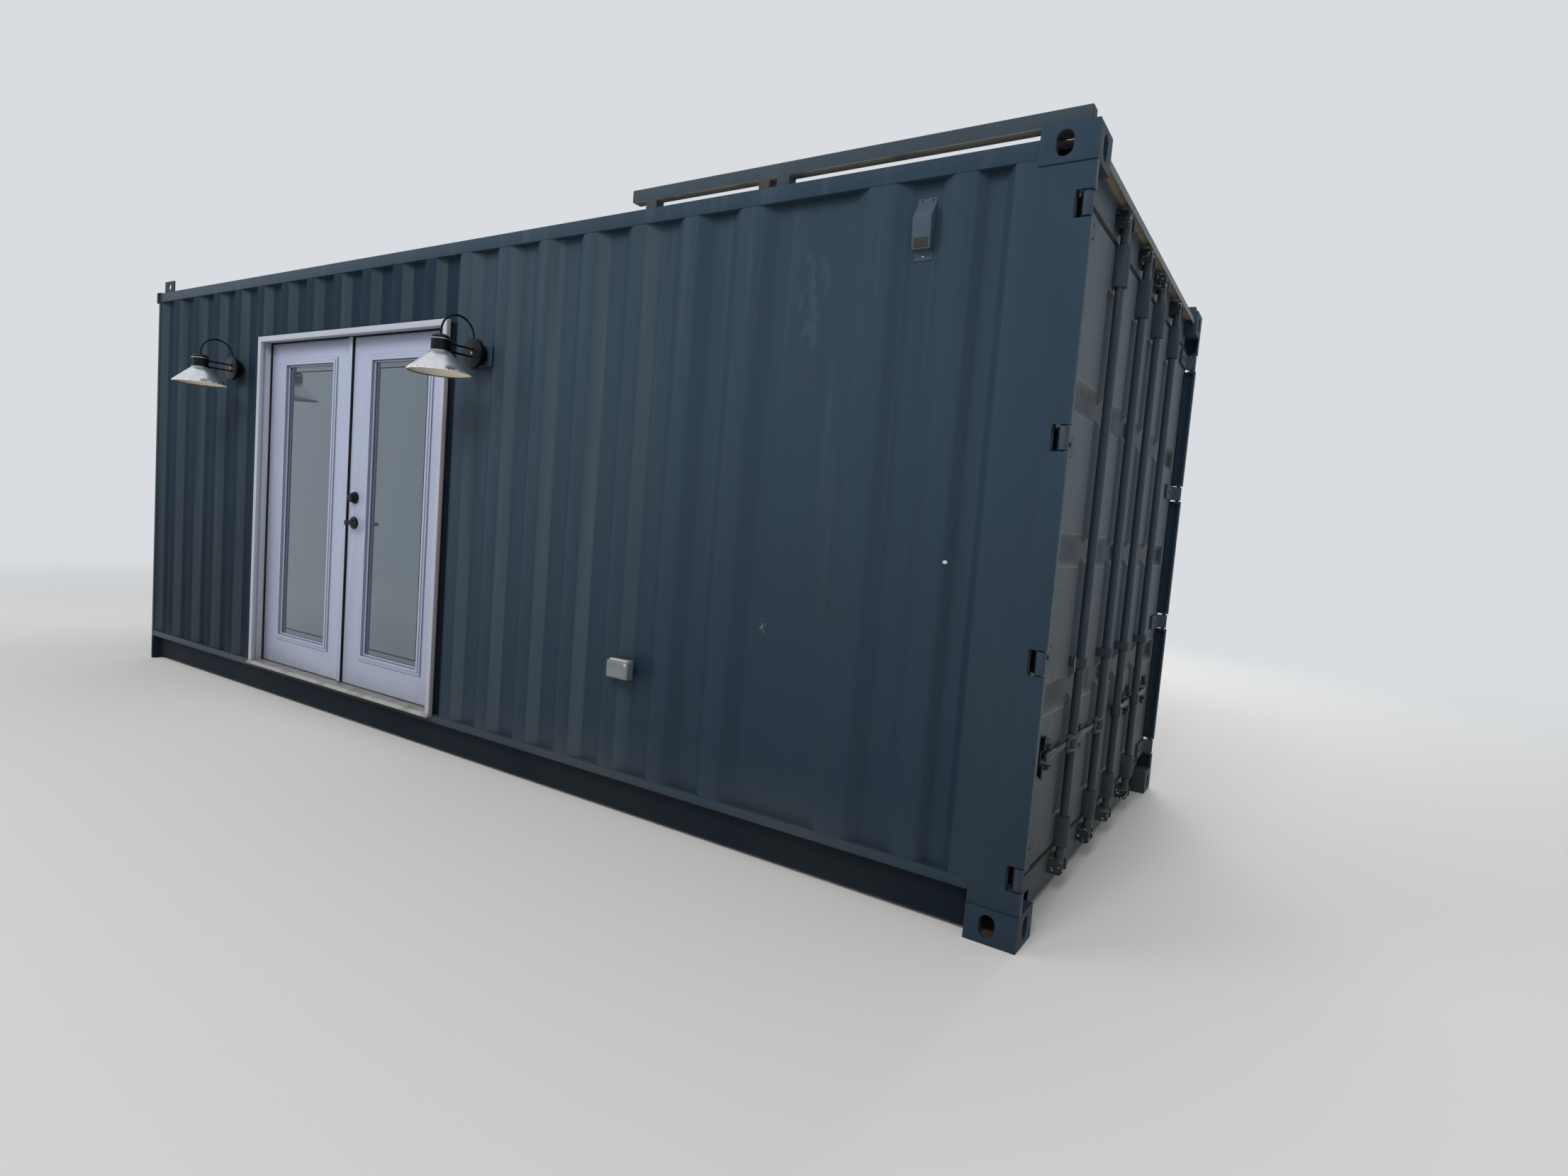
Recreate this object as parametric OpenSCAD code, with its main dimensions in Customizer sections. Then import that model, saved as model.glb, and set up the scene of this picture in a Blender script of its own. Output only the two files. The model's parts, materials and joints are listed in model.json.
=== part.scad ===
/* [Container] */
// Length of the cut-down container body
body_l = 6295; // [5600:5:9000]
// Width over the corner castings
body_w = 2438; // [2200:2:2600]
// Height over the corner castings
body_h = 2591; // [2540:1:2900]
// How far rails, posts and walls stand back from the castings
face_inset = 4; // [2:1:8]

/* [Corner castings] */
// Casting length along the body
casting_l = 178; // [150:1:200]
// Casting width
casting_w = 162; // [140:1:180]
// Casting height
casting_h = 118; // [100:1:130]
// Thickness of the casting's holed walls
casting_wall = 28; // [20:1:34]
// Thickness of the casting's plain walls
casting_back = 14; // [8:1:20]
// Width of the hole in the casting's long side
side_hole_w = 54; // [40:1:64]
// Height of the holes in the casting's upright faces
upright_hole_h = 79; // [60:1:86]
// Width of the hole in the casting's end face
end_hole_w = 51; // [40:1:60]
// Distance of the casting holes from the body's end
hole_from_end = 101; // [80:1:110]
// Distance of the casting holes from the body's side
hole_from_side = 84; // [70:1:95]
// Length of the hole in the casting's flat face
flat_hole_l = 124; // [90:1:130]
// Width of the hole in the casting's flat face
flat_hole_w = 63; // [40:1:66]

/* [Side walls] */
// Sheet thickness of the walls and roof
sheet_t = 2; // [1.5:0.5:4]
// How far the wall's outer flats stand back from the rails
wall_step = 2; // [0:0.5:6]
// Depth of the corrugation
groove_d = 36; // [20:1:45]
// Distance from one corrugation to the next
groove_pitch = 280; // [260:0.5:300]
// Width of one recess at the outer face
groove_w = 206; // [180:1:220]
// Width of the sloped side of a recess
groove_slope = 68; // [40:1:80]
// Place of the first full recess after the wide one, from the door end
groove_first_x = 1413; // [1380:1:1440]
// Place of the wide flat recess
wide_groove_x = 994; // [980:1:1010]
// Width of the wide flat recess
wide_groove_w = 463; // [400:1:490]
// Place of the single recess near the door end
single_groove_x = 556; // [545:1:565]
// Width of the narrow recess beside the corner post
edge_groove_w = 127; // [100:1:140]

/* [Frame] */
// Side of the square top rail
top_rail = 60; // [50:1:70]
// Top of the top rail below the casting's top
top_rail_drop = 37; // [30:1:45]
// Top of the bottom rail
bottom_rail_top = 198; // [180:1:210]
// Height of the rail's lip
bottom_lip_z = 162; // [150:1:175]
// Height of the rail's lower edge
bottom_rail_z = 16; // [8:1:30]
// Plate thickness of the bottom rail
rail_plate = 5; // [4:1:8]
// How far the lower web of the rail stands back
rail_web_back = 46; // [40:1:60]
// Width of the corner post's side plate
post_plate_l = 248; // [240:1:260]
// Thickness of the corner post's side plate
post_plate = 6; // [4:1:8]
// Depth of the corner post's hollow bar behind the side
post_bar_d = 76; // [60:1:90]
// Distance of that bar's inner face from the door end
post_bar_in = 112; // [90:1:130]
// Height of the cross members
cross_h = 122; // [100:1:130]
// Spacing of the cross members
cross_pitch = 460; // [400:10:600]
// Width of a cross member
cross_w = 44; // [30:1:60]
// Distance of the first cross member from the door end
cross_first = 300; // [240:1:400]
// Side of the square head rail at the plain end
head_rail = 72; // [60:1:90]
// How far the head rail stands out past the plain end
head_over = 25; // [20:1:50]
// Height of the head rail's top above the top rails
head_rise = 4; // [0:1:10]
// Width of the edge bar at the plain end
edge_bar = 25; // [20:1:40]
// Width of the corner post at the plain end
edge_post = 96; // [60:1:120]
// Depth of the hollow bars inside the frame
frame_bar = 60; // [40:1:80]
// Wall thickness of the hollow bars
bar_t = 4; // [3:1:6]

/* [Roof sheet] */
// Distance from one roof rib to the next
rib_pitch = 209; // [180:1:240]
// Width of a roof rib at its top
rib_w = 140; // [100:1:160]
// Width of a roof rib's floor
rib_floor = 90; // [60:1:110]
// Depth of a roof rib
rib_d = 20; // [12:1:24]

/* [Inside] */
// Thickness of the floor
floor_t = 28; // [20:1:28]
// Thickness of the wall lining
lining_t = 56; // [30:1:56]
// Thickness of the ceiling lining
ceiling_t = 40; // [20:1:50]
// How far the ceiling hangs below the top rails' lower edge
ceiling_drop = 100; // [80:5:140]

/* [Glazed doors] */
// Distance of the doorway's middle from the door end
doorway_x = 3960; // [3900:1:4100]
// Width over the outer trim
doorway_w = 1826; // [1700:2:1900]
// Drop of the doorway trim's top below the body's top
doorway_drop = 408; // [300:1:500]
// Width of the trim's face
trim_w = 31; // [28:1:40]
// Thickness of the trim
trim_t = 24; // [10:1:28]
// How far the trim stands over the clear opening
trim_lap = 6; // [4:1:8]
// Thickness of the jambs
jamb_t = 22; // [18:1:24]
// Thickness of the doorway's head board
head_t = 16; // [12:1:22]
// How far the threshold's nose stands out of the body's side
nose_out = 30; // [10:1:40]
// Height of the nose's face
nose_h = 10; // [6:1:16]
// Radius of the knuckles of the glazed doors' hinges
butt_r = 8; // [6:0.5:9]
// Radius of the pin in those hinges
butt_pin_r = 4; // [3:0.5:5]
// Height of one knuckle with its gap
butt_pitch = 31; // [28:1:40]
// Width of a hinge leaf
butt_w = 30; // [24:1:34]
// Thickness of a hinge leaf
butt_t = 3; // [2:0.5:3.5]
// Distance of the end hinges from the leaf's top and bottom
butt_from_end = 180; // [150:5:300]
// Thickness of a glazed leaf
leaf_t = 45; // [38:1:50]
// Gap around each glazed leaf
leaf_gap = 5; // [5:0.5:7]
// Gap between the two glazed leaves
meeting_gap = 8; // [6:0.5:10]
// Width of the strip on the left leaf's meeting edge
astragal_w = 32; // [25:1:45]
// Thickness of that strip
astragal_t = 12; // [8:1:14]
// Bottom of the glazed leaves above the ground
leaf_z = 212; // [208:1:225]
// Width of the glass that shows
lite_w = 506; // [450:1:560]
// Height of the leaf's rail above the glass
lite_top = 135; // [110:1:200]
// Height of the leaf's bottom rail below the glass
lite_rise = 180; // [165:1:200]
// Width of the raised frame round the glass
lite_frame_w = 31; // [25:1:36]
// How far the raised frame stands out
lite_frame_t = 11; // [6:1:14]
// Thickness of the double glazing
glass_t = 18; // [10:1:24]
// Height of the lever above the ground
lever_z = 1125; // [1050:1:1150]
// Height of the deadbolt above the ground
bolt_z = 1265; // [1230:1:1300]
// Distance of the lock from the leaf's edge
lock_backset = 60; // [55:1:75]
// Length of the lever
lever_l = 105; // [90:1:125]
// Radius of the bar through the lever
spindle_r = 8; // [6:1:10]
// How far the lever stands off the leaf's outer face
lever_out = 52; // [40:1:60]
// How far the lever stands off the leaf's inner face
lever_in = 40; // [30:1:50]
// Thickness of the lever
lever_t = 12; // [8:1:16]
// Radius of the lock's round plates
rose_r = 34; // [28:1:38]
// Thickness of the lock's round plates
rose_t = 9; // [6:1:12]
// How far the bolt's cylinder stands out
bolt_out = 34; // [24:1:40]

/* [Lamps] */
// Distance of each lamp from the doorway's middle
lamp_x = 1168; // [1120:1:1210]
// How far the pair of lamps stands off the doorway's middle
lamp_shift = 17; // [0:1:30]
// Drop of the lamp's wall plate below the doorway trim's top
lamp_drop = 183; // [100:1:250]
// Width of the plate over the recess behind the right lamp
block_w = 170; // [120:1:174]
// Height of that plate
block_h = 101; // [80:1:140]
// Thickness of that plate
block_t = 8; // [3:1:12]
// Width of the foot under it
block_foot = 52; // [20:1:60]
// Drop of its lower edge below the middle of the lamp's plate
block_drop = 56; // [40:1:80]
// Distance of the shade's middle from the wall
lamp_reach = 212; // [180:1:400]
// Radius of the wall plate
plate_r = 71; // [60:1:80]
// Thickness of the wall plate
plate_t = 18; // [12:1:24]
// Depth of the round box between the wall and the plate
lamp_box_d = 32; // [20:1:50]
// Distance of each of the two bars from the plate's middle
bar_rise = 18; // [12:1:26]
// Radius of the lamp's bars and loop
wire_r = 4.75; // [3:0.25:6]
// Radius of the shade
shade_r = 140; // [120:1:180]
// Height of the shade
shade_h = 88; // [50:1:100]
// Height of the upright rim under the shade
shade_rim = 8; // [4:1:14]
// Sheet thickness of the shade
shade_t = 1.5; // [1:0.5:3]
// Radius of the lamp holder
holder_r = 42; // [25:1:50]
// Half the height of the lamp holder's drum
holder_half = 30; // [20:1:40]
// Radius of the bulb
bulb_r = 28; // [20:1:30]

/* [Cargo doors] */
// Thickness of a cargo door
cargo_t = 50; // [40:1:52]
// How far the door's face stands back from the castings
cargo_back = 55; // [50:1:58]
// How far the header and the sill stand back from the castings
frame_back = 62; // [59:1:70]
// Bottom of the cargo doors above the ground
cargo_z = 176; // [172:1:184]
// Height of the header over the cargo doors
header_h = 119; // [110:1:140]
// Drop of the header's top below the top rails' top
header_drop = 8; // [4:1:20]
// Gap between the cargo doors and the header
header_gap = 15; // [8:1:20]
// Gap between the two cargo doors
cargo_gap = 10; // [6:1:16]
// Distance of the door's edge from the body's side
cargo_edge = 30; // [28:1:40]
// Distance of the hinge pin from the end and side planes
pin_back = 20; // [18:1:22]
// Radius of the hinge pin
pin_r = 9; // [6:0.5:10]
// Radius of the hinge knuckle
knuckle_r = 17; // [15:0.5:17.5]
// Height of a hinge blade
blade_h = 72; // [50:1:74]
// Clearance above and below a hinge blade
blade_clear = 6; // [5:1:10]
// Thickness of a hinge blade
blade_t = 12; // [8:1:14]
// How far the blade's face starts from the pin
blade_from = 33; // [30:1:40]
// Length of a hinge blade over the door
blade_l = 180; // [120:5:250]
// Height of a raised field's groove on the cargo doors
field_gap_h = 120; // [100:1:140]
// Distance from one such groove to the next
field_pitch = 516; // [500:1:530]
// Depth of the grooves in the cargo doors
field_d = 25; // [15:1:30]
// Distance of the rods' long grooves from the door's top and bottom
groove_end = 130; // [110:1:160]
// Half the width of such a groove at its floor
groove_half = 40; // [34:1:50]
// Width of a groove's sloped side
groove_side = 36; // [20:1:40]
// Height of the top of the sill under the cargo doors
sill_top = 170; // [150:1:171]
// How far the gutter over the cargo doors stands back from the castings
gutter_back = 14; // [8:1:30]
// Depth of the header over the cargo doors
header_depth = 78; // [60:1:100]
// Depth of the sill under the cargo doors
sill_depth = 138; // [100:1:160]
// Wall thickness of the header and the sill
channel_t = 6; // [4:1:8]
// Height of the sill's lower edge
sill_low = 24; // [15:1:30]
// Length of the cut-out in the sill beside each casting
sill_cut_l = 168; // [120:1:200]
// Height of the top of that cut-out
sill_cut_top = 92; // [70:1:100]
// Drop of the top hinge below the body's top
hinge_drop = 245; // [200:1:300]
// Height of the lowest hinge
hinge_z = 237; // [228:1:245]
// Radius of a locking rod
rod_r = 17; // [14:0.5:18]
// Distance of the rod's middle from the end plane
rod_back = 30; // [28:1:32]
// Distance of the outer rods from the body's middle
outer_rod_y = 617; // [590:1:640]
// Distance of the inner rods from the body's middle
inner_rod_y = 180; // [150:1:200]
// Height of the rods' lower ends above the ground
rod_low = 75; // [60:1:90]
// Distance of the rods' upper ends below the top rail's top
rod_drop = 34; // [25:1:60]
// Height of a cam keeper
keeper_h = 60; // [45:1:70]
// Half the space between a keeper's two horns
keeper_half = 32; // [28:1:36]
// Thickness of a keeper's horn
horn_t = 10; // [8:1:14]
// Radius of the cam on a rod's end
cam_r = 24; // [20:1:27]
// Height of that cam
cam_h = 40; // [30:1:50]
// Width of a rod guide
guide_w = 52; // [40:1:60]
// Height of the guides in the middle
guide_h = 36; // [25:1:50]
// Thickness of a handle's arm
handle_t = 10; // [6:1:12]
// Height of a handle's grip
handle_h = 30; // [20:1:36]
// Height of the guides in the middle of the rods
guide_z = 884; // [850:1:920]
// Height of the handles
handle_z = 582; // [540:1:640]
// Length of a handle
handle_l = 330; // [250:5:340]

/* [Roof and fittings] */
// Side of the square tube on the roof
roof_tube = 50; // [40:1:60]
// Length of the tube on the roof
roof_tube_l = 1859; // [1500:5:2200]
// How far the roof tube starts from the door end
roof_tube_x = 28; // [20:1:60]
// How far the roof tubes stand in from the castings' sides
roof_tube_in = 12; // [4:1:20]
// Length of the short stubs under the roof tube
roof_stub = 56; // [40:1:80]
// Distance of the last stub from the roof tube's far end
roof_stub_end = 104; // [60:1:200]
// Distance from the last stub to the one before it
roof_stub_pitch = 646; // [500:1:800]
// Distance from that stub to the tube across the roof
roof_cross_off = 84; // [60:1:200]
// Width of the lifting tab on the roof's edge
tab_w = 135; // [100:1:160]
// Height of the lifting tab
tab_h = 74; // [60:1:90]
// Thickness of the lifting tab
tab_t = 8; // [6:1:12]
// How far the lifting tab stands in from the castings' sides
tab_in = 14; // [8:1:30]
// Distance of the lifting tab from the plain end
tab_from_end = 62; // [50:1:90]
// Radius of the hole in the lifting tab
tab_hole_r = 20; // [15:1:25]
// Width of the vent
vent_w = 68; // [60:1:69]
// Height of the vent's base
vent_h = 206; // [150:1:240]
// How far the vent's hood stands out of the recess's floor
vent_out = 40; // [30:1:42]
// Drop of the vent's base below the top rail
vent_drop = 52; // [30:1:90]
// Distance of the outlet box's middle from the door end
outlet_x = 1760; // [1700:1:1830]
// Height of the outlet box above the ground
outlet_z = 605; // [500:5:700]
// Depth of the outlet box
outlet_d = 48; // [35:1:60]
// Side of the outlet box along the wall
outlet_w = 119; // [90:1:140]
// Height of the outlet box
outlet_h = 85; // [70:1:120]

/* [Hidden] */
// Every name of a piece
$fn = 48;

// The body's own frame: the end plane of the castings is x = 0 and the body runs to -x,
// the outer face of the near castings is y = 0, and the ground is z = 0.
lamp_front = lamp_reach + shade_r;
origin_x = -(body_l + head_over) / 2;
origin_y = (body_w - lamp_front) / 2;
rail_top = body_h - top_rail_drop;
rail_low = rail_top - top_rail;
wall_y = face_inset + wall_step;
wall_in = wall_y + groove_d + sheet_t;
lining_in = wall_in + lining_t;
wall_x0 = -body_l + edge_bar;
wall_x1 = -post_plate_l;
post_box_x0 = -casting_l;
post_box_x1 = -post_bar_in;
post_box_y = post_bar_d;
floor_top = bottom_rail_top;
floor_low = floor_top - floor_t;
ceiling_z = rail_low - ceiling_drop;
frame_face = -frame_back;
inside_x0 = wall_x0 + sheet_t + groove_d + lining_t;

clear_w = doorway_w - 2 * (trim_w - trim_lap);
jamb_out = clear_w / 2 + jamb_t;
doorway_top = body_h - doorway_drop;
lamp_z = doorway_top - lamp_drop;
clear_top = doorway_top - trim_w + trim_lap;
head_out = clear_top + head_t;
threshold_top = leaf_z - 6;
glazed_w = (clear_w - 2 * leaf_gap - meeting_gap) / 2;
glazed_top = clear_top - leaf_gap;
glazed_h = glazed_top - leaf_z;
lite_h = glazed_h - lite_rise - lite_top;
leaf_y1 = lining_in;
leaf_y0 = leaf_y1 - leaf_t;
leaf_pin_y = leaf_y1 + butt_r + 1;
leaf_hinge_heights = [leaf_z + butt_from_end, leaf_z + glazed_h / 2,
  leaf_z + glazed_h - butt_from_end];
lock_x = -doorway_x + meeting_gap / 2 + lock_backset;

cargo_face = -cargo_back;
cargo_inner = cargo_face - cargo_t;
header_top = rail_top - header_drop;
header_low = header_top - header_h;
cargo_h = header_low - header_gap - cargo_z;
cargo_w = (body_w - cargo_gap) / 2 - cargo_edge;
hinge_pitch = (body_h - hinge_drop - hinge_z) / 3;
hinge_heights = [for (i = [0:3]) hinge_z + i * hinge_pitch];
notch_h = blade_h + 2 * blade_clear;
rod_z1 = rail_top - rod_drop;
roof_stub_b = roof_tube_x + roof_tube_l - roof_stub_end;
roof_stub_a = roof_stub_b - roof_stub_pitch;
roof_cross_x = roof_stub_a + roof_cross_off;

// A box given by its corners
module slab(x, y, z) {
  translate([x[0], y[0], z[0]]) cube([x[1] - x[0], y[1] - y[0], z[1] - z[0]]);
}

// The shape on the near side and its mirror image on the far side
module far_side() {
  translate([0, body_w, 0]) mirror([0, 1, 0]) children();
}
module both_sides() {
  children();
  far_side() children();
}

// Upright round-ended hole through a face that looks along y
module slot_y(w, h, depth) {
  rotate([90, 0, 0]) linear_extrude(depth, center = true) slot_2d(w, h);
}
module slot_x(w, h, depth) {
  rotate([90, 0, 90]) linear_extrude(depth, center = true) slot_2d(w, h);
}
module slot_2d(w, h) {
  square([w, h - w], center = true);
  for (s = [-1, 1]) translate([0, s * (h - w) / 2]) circle(d = w);
}

// Corrugated sheet in plan, drawn from a list of recesses [middle, width]
function recess_slope(w) = min(groove_slope, w * 0.3);
function recess_points(g) = let (h = g[1] / 2, s = recess_slope(g[1]))
  [[g[0] - h, 0], [g[0] - h + s, groove_d], [g[0] + h - s, groove_d], [g[0] + h, 0]];
function sheet_line(grooves, a, b) = concat(
  [[a, 0]], [for (g = grooves) each recess_points(g)], [[b, 0]]);
function reversed(p) = [for (i = [len(p) - 1:-1:0]) p[i]];
module corrugated_2d(grooves, a, b, t) {
  line = sheet_line(grooves, a, b);
  polygon(concat(line, [for (p = reversed(line)) p + [0, t]]));
}

side_groove_n = floor((body_l - groove_first_x - groove_w / 2) / groove_pitch);
side_grooves = concat(
  [for (i = [side_groove_n:-1:0]) [-groove_first_x - i * groove_pitch, groove_w]],
  [[-wide_groove_x, wide_groove_w], [-single_groove_x, groove_w],
   [wall_x1 - edge_groove_w / 2, edge_groove_w]]);

// A piece of the side wall between two places along the body
module side_sheet(x, z) {
  translate([0, wall_y, z[0]]) linear_extrude(z[1] - z[0]) intersection() {
    corrugated_2d(side_grooves, -body_l - groove_w, wall_x1, sheet_t);
    translate([x[0], -1]) square([x[1] - x[0], groove_d + sheet_t + 2]);
  }
}

module bottom_side_rails() {
  y = face_inset;
  b = y + rail_web_back;
  t = rail_plate;
  profile = [[y, bottom_rail_top], [y, bottom_lip_z + t], [y - 3, bottom_lip_z + t],
    [y - 3, bottom_lip_z], [b, bottom_lip_z], [b, bottom_rail_z], [b + 50, bottom_rail_z],
    [b + 50, bottom_rail_z + t], [b + t, bottom_rail_z + t], [b + t, bottom_lip_z + t],
    [y + t, bottom_lip_z + t], [y + t, bottom_rail_top - t], [b + t, bottom_rail_top - t],
    [b + t, bottom_rail_top]];
  color("#3b4a58") both_sides() translate([-body_l + edge_bar, 0, 0])
    rotate([90, 0, 90]) linear_extrude(body_l - edge_bar - casting_l) polygon(profile);
}

module top_side_rails() {
  y = face_inset;
  x0 = -body_l + edge_bar;
  color("#3b4a58") both_sides() difference() {
    slab([x0, -casting_l], [y, y + top_rail], [rail_low, rail_top]);
    slab([x0 - 1, -casting_l + 1], [y + bar_t, y + top_rail - bar_t],
      [rail_low + bar_t, rail_top - bar_t]);
  }
}

module cross_members() {
  n = floor((body_l - cross_first - 200) / cross_pitch);
  y0 = face_inset + rail_web_back + rail_plate;
  z0 = floor_low - cross_h;
  half = cross_w / 2;
  color("#33404c") for (i = [0:n]) translate([-cross_first - i * cross_pitch, 0, 0])
    difference() {
      slab([-half, half], [y0, body_w - y0], [z0, floor_low]);
      slab([-half + bar_t, half + 1], [y0 - 1, body_w - y0 + 1],
        [z0 + bar_t, floor_low - bar_t]);
    }
}

module end_frame() {
  y = face_inset;
  x0 = -body_l;
  head_top = rail_top + head_rise;
  head_low = head_top - head_rail;
  color("#3b4a58") {
    both_sides() slab([x0, x0 + edge_bar], [y, y + edge_post], [0, head_low]);
    difference() {
      slab([x0 - head_over, x0 + edge_bar], [0, body_w], [head_low, head_top]);
      slab([x0 - head_over + bar_t, x0 + edge_bar - bar_t], [-1, body_w + 1],
        [head_low + bar_t, head_top - bar_t]);
    }
    difference() {
      slab([x0, x0 + frame_bar], [y + edge_post, body_w - y - edge_post], [0, bottom_rail_top]);
      slab([x0 + bar_t, x0 + frame_bar - bar_t],
        [y + edge_post - 1, body_w - y - edge_post + 1], [bar_t, bottom_rail_top - bar_t]);
    }
  }
}

end_groove_n = floor((body_w - 2 * (face_inset + edge_post) - groove_pitch / 2) / groove_pitch);
module end_wall() {
  y0 = face_inset + edge_post;
  mid = body_w / 2;
  n = end_groove_n;
  grooves = [for (i = [0:n - 1]) [-mid + (i - (n - 1) / 2) * groove_pitch, groove_w]];
  color("#3b4a58") translate([-body_l + bar_t, 0, bottom_rail_top]) rotate([0, 0, -90])
    linear_extrude(rail_top + head_rise - head_rail - bottom_rail_top)
      corrugated_2d(grooves, -(body_w - y0), -y0, sheet_t);
}

// Corner post in plan: side plate, folded nose and the box behind the door's edge
module post_2d() {
  y = face_inset;
  t = post_plate;
  lip = [12, 28];
  translate([-casting_l, y]) square([casting_l, t]);
  translate([-lip[0], y]) square(lip);
  difference() {
    translate([post_box_x0, y]) square([post_box_x1 - post_box_x0, post_box_y - y]);
    translate([post_box_x0 + t, y + t])
      square([post_box_x1 - post_box_x0 - 2 * t, post_box_y - y - 2 * t]);
  }
}
module rear_corner_posts() {
  y = face_inset;
  foot_lap = 20;
  notch_in = 40;
  color("#3b4a58") both_sides() {
    difference() {
      union() {
        translate([0, 0, casting_h]) linear_extrude(body_h - 2 * casting_h) post_2d();
        slab([-post_plate_l, -casting_l + 1], [y, y + post_plate],
          [bottom_rail_top, body_h - casting_h]);
        slab([-post_plate_l, -casting_l], [y, y + post_plate],
          [body_h - casting_h - 1, rail_low]);
        slab([post_box_x1 - foot_lap, frame_face], [post_box_y - 1, casting_w], [casting_h, sill_top]);
      }
      for (z = hinge_heights)
        slab([-cargo_back, 1], [-1, notch_in], [z - notch_h / 2, z + notch_h / 2]);
    }
    for (z = hinge_heights) hinge_lugs(z);
  }
}
// The two lugs above and below a hinge blade, with the pin between them
module hinge_lugs(z) {
  y = face_inset + post_plate;
  lug_t = 12;
  half = (notch_h + lug_t) / 2;
  for (a = [z - half, z + half])
    slab([-pin_back - 16, 0], [y, pin_back + 14], [a - lug_t / 2, a + lug_t / 2]);
  translate([-pin_back, pin_back, z - half]) cylinder(r = pin_r, h = 2 * half);
}

// One casting at the near door end, with its flat hole downwards
module casting() {
  flat_hole_off = 10;
  difference() {
    slab([-casting_l, 0], [0, casting_w], [0, casting_h]);
    slab([-casting_l + casting_back, -casting_wall], [casting_wall, casting_w - casting_back],
      [casting_wall, casting_h - casting_back]);
    translate([-hole_from_end, 0, casting_h / 2])
      slot_y(side_hole_w, upright_hole_h, 3 * casting_wall);
    translate([0, hole_from_side, casting_h / 2])
      slot_x(end_hole_w, upright_hole_h, 3 * casting_wall);
    translate([-hole_from_end + flat_hole_off, hole_from_side, 0]) rotate([0, 0, 90])
      linear_extrude(3 * casting_wall, center = true) slot_2d(flat_hole_w, flat_hole_l);
  }
}
module bottom_corner_castings() {
  color("#46525c") both_sides() casting();
}
module top_corner_castings() {
  color("#46525c") both_sides()
    translate([0, 0, body_h]) mirror([0, 0, 1]) casting();
}

module door_header() {
  x0 = frame_face - header_depth;
  z1 = header_top;
  color("#55606a") {
    difference() {
      union() {
        slab([x0, frame_face], [casting_w, body_w - casting_w], [header_low, z1]);
        slab([x0, frame_face], [post_box_y, body_w - post_box_y],
          [header_low, body_h - casting_h]);
      }
      slab([x0 + channel_t, frame_face - channel_t], [post_box_y - 1, body_w - post_box_y + 1],
        [header_low + channel_t, z1 - channel_t]);
    }
    slab([-casting_l, -gutter_back], [casting_w, body_w - casting_w], [z1, z1 + channel_t]);
  }
}

module door_sill() {
  x0 = frame_face - sill_depth;
  y0 = casting_w;
  y1 = body_w - casting_w;
  color("#55606a") difference() {
    slab([x0, frame_face], [y0, y1], [sill_low, sill_top]);
    slab([x0 + channel_t, frame_face - channel_t], [y0 - 1, y1 + 1],
      [sill_low + channel_t, sill_top - channel_t]);
    both_sides() slab([frame_face - channel_t - 1, 0], [y0 - 1, y0 + sill_cut_l],
      [sill_low - 1, sill_cut_top]);
  }
}

module roof_panel() {
  x0 = -body_l + edge_bar;
  first = casting_l + rib_pitch * 0.62;
  n = floor((body_l - first - rib_w) / rib_pitch);
  y0 = face_inset + top_rail;
  grooves = [for (i = [n:-1:0]) -first - i * rib_pitch];
  color("#55606a") translate([0, y0, rail_top - rib_d - sheet_t])
    rotate([90, 0, 0]) mirror([0, 0, 1]) linear_extrude(body_w - 2 * y0)
      roof_2d(grooves, x0, -casting_l);
}
module roof_2d(grooves, a, b) {
  half = rib_w / 2;
  floor_half = rib_floor / 2;
  line = concat([[a, rib_d]], [for (g = grooves) each [[g - half, rib_d], [g - floor_half, 0],
    [g + floor_half, 0], [g + half, rib_d]]], [[b, rib_d]]);
  polygon(concat(line, [for (p = reversed(line)) p + [0, sheet_t]]));
}

module wall_left_of_doorway() {
  color("#3b4a58") side_sheet([wall_x0, -doorway_x - jamb_out], [bottom_rail_top, rail_low]);
}
module wall_over_doorway() {
  color("#3b4a58") side_sheet([-doorway_x - jamb_out, -doorway_x + jamb_out],
    [head_out, rail_low]);
}
module wall_right_of_doorway() {
  color("#3b4a58") side_sheet([-doorway_x + jamb_out, wall_x1], [bottom_rail_top, rail_low]);
}
module back_wall() {
  color("#3b4a58") far_side() side_sheet([wall_x0, wall_x1], [bottom_rail_top, rail_low]);
}

module side_lining(x, z) {
  slab(x, [wall_in, lining_in], z);
}
module lining_left_of_doorway() {
  color("#b9b4a8") side_lining([inside_x0, -doorway_x - jamb_out], [floor_top, ceiling_z]);
}
module lining_over_doorway() {
  color("#b9b4a8") side_lining([-doorway_x - jamb_out, -doorway_x + jamb_out],
    [head_out, ceiling_z]);
}
module lining_right_of_doorway() {
  color("#b9b4a8") side_lining([-doorway_x + jamb_out, post_box_x0], [floor_top, ceiling_z]);
}
module back_lining() {
  color("#b9b4a8") far_side() side_lining([inside_x0, post_box_x0], [floor_top, ceiling_z]);
}
module end_lining() {
  color("#b9b4a8") slab([inside_x0 - lining_t, inside_x0], [wall_in, body_w - wall_in],
    [floor_top, ceiling_z]);
}
module ceiling_lining() {
  color("#c8c4ba") slab([inside_x0 - lining_t, post_box_x0], [wall_in, body_w - wall_in],
    [ceiling_z, ceiling_z + ceiling_t]);
}
module floor_boards() {
  y0 = face_inset + rail_web_back + rail_plate;
  color("#8a6a48") {
    slab([-body_l + frame_bar, -casting_l], [y0, body_w - y0], [floor_low, floor_top]);
    slab([-casting_l - 1, post_box_x1], [post_box_y, body_w - post_box_y], [floor_low, floor_top]);
  }
}

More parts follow.
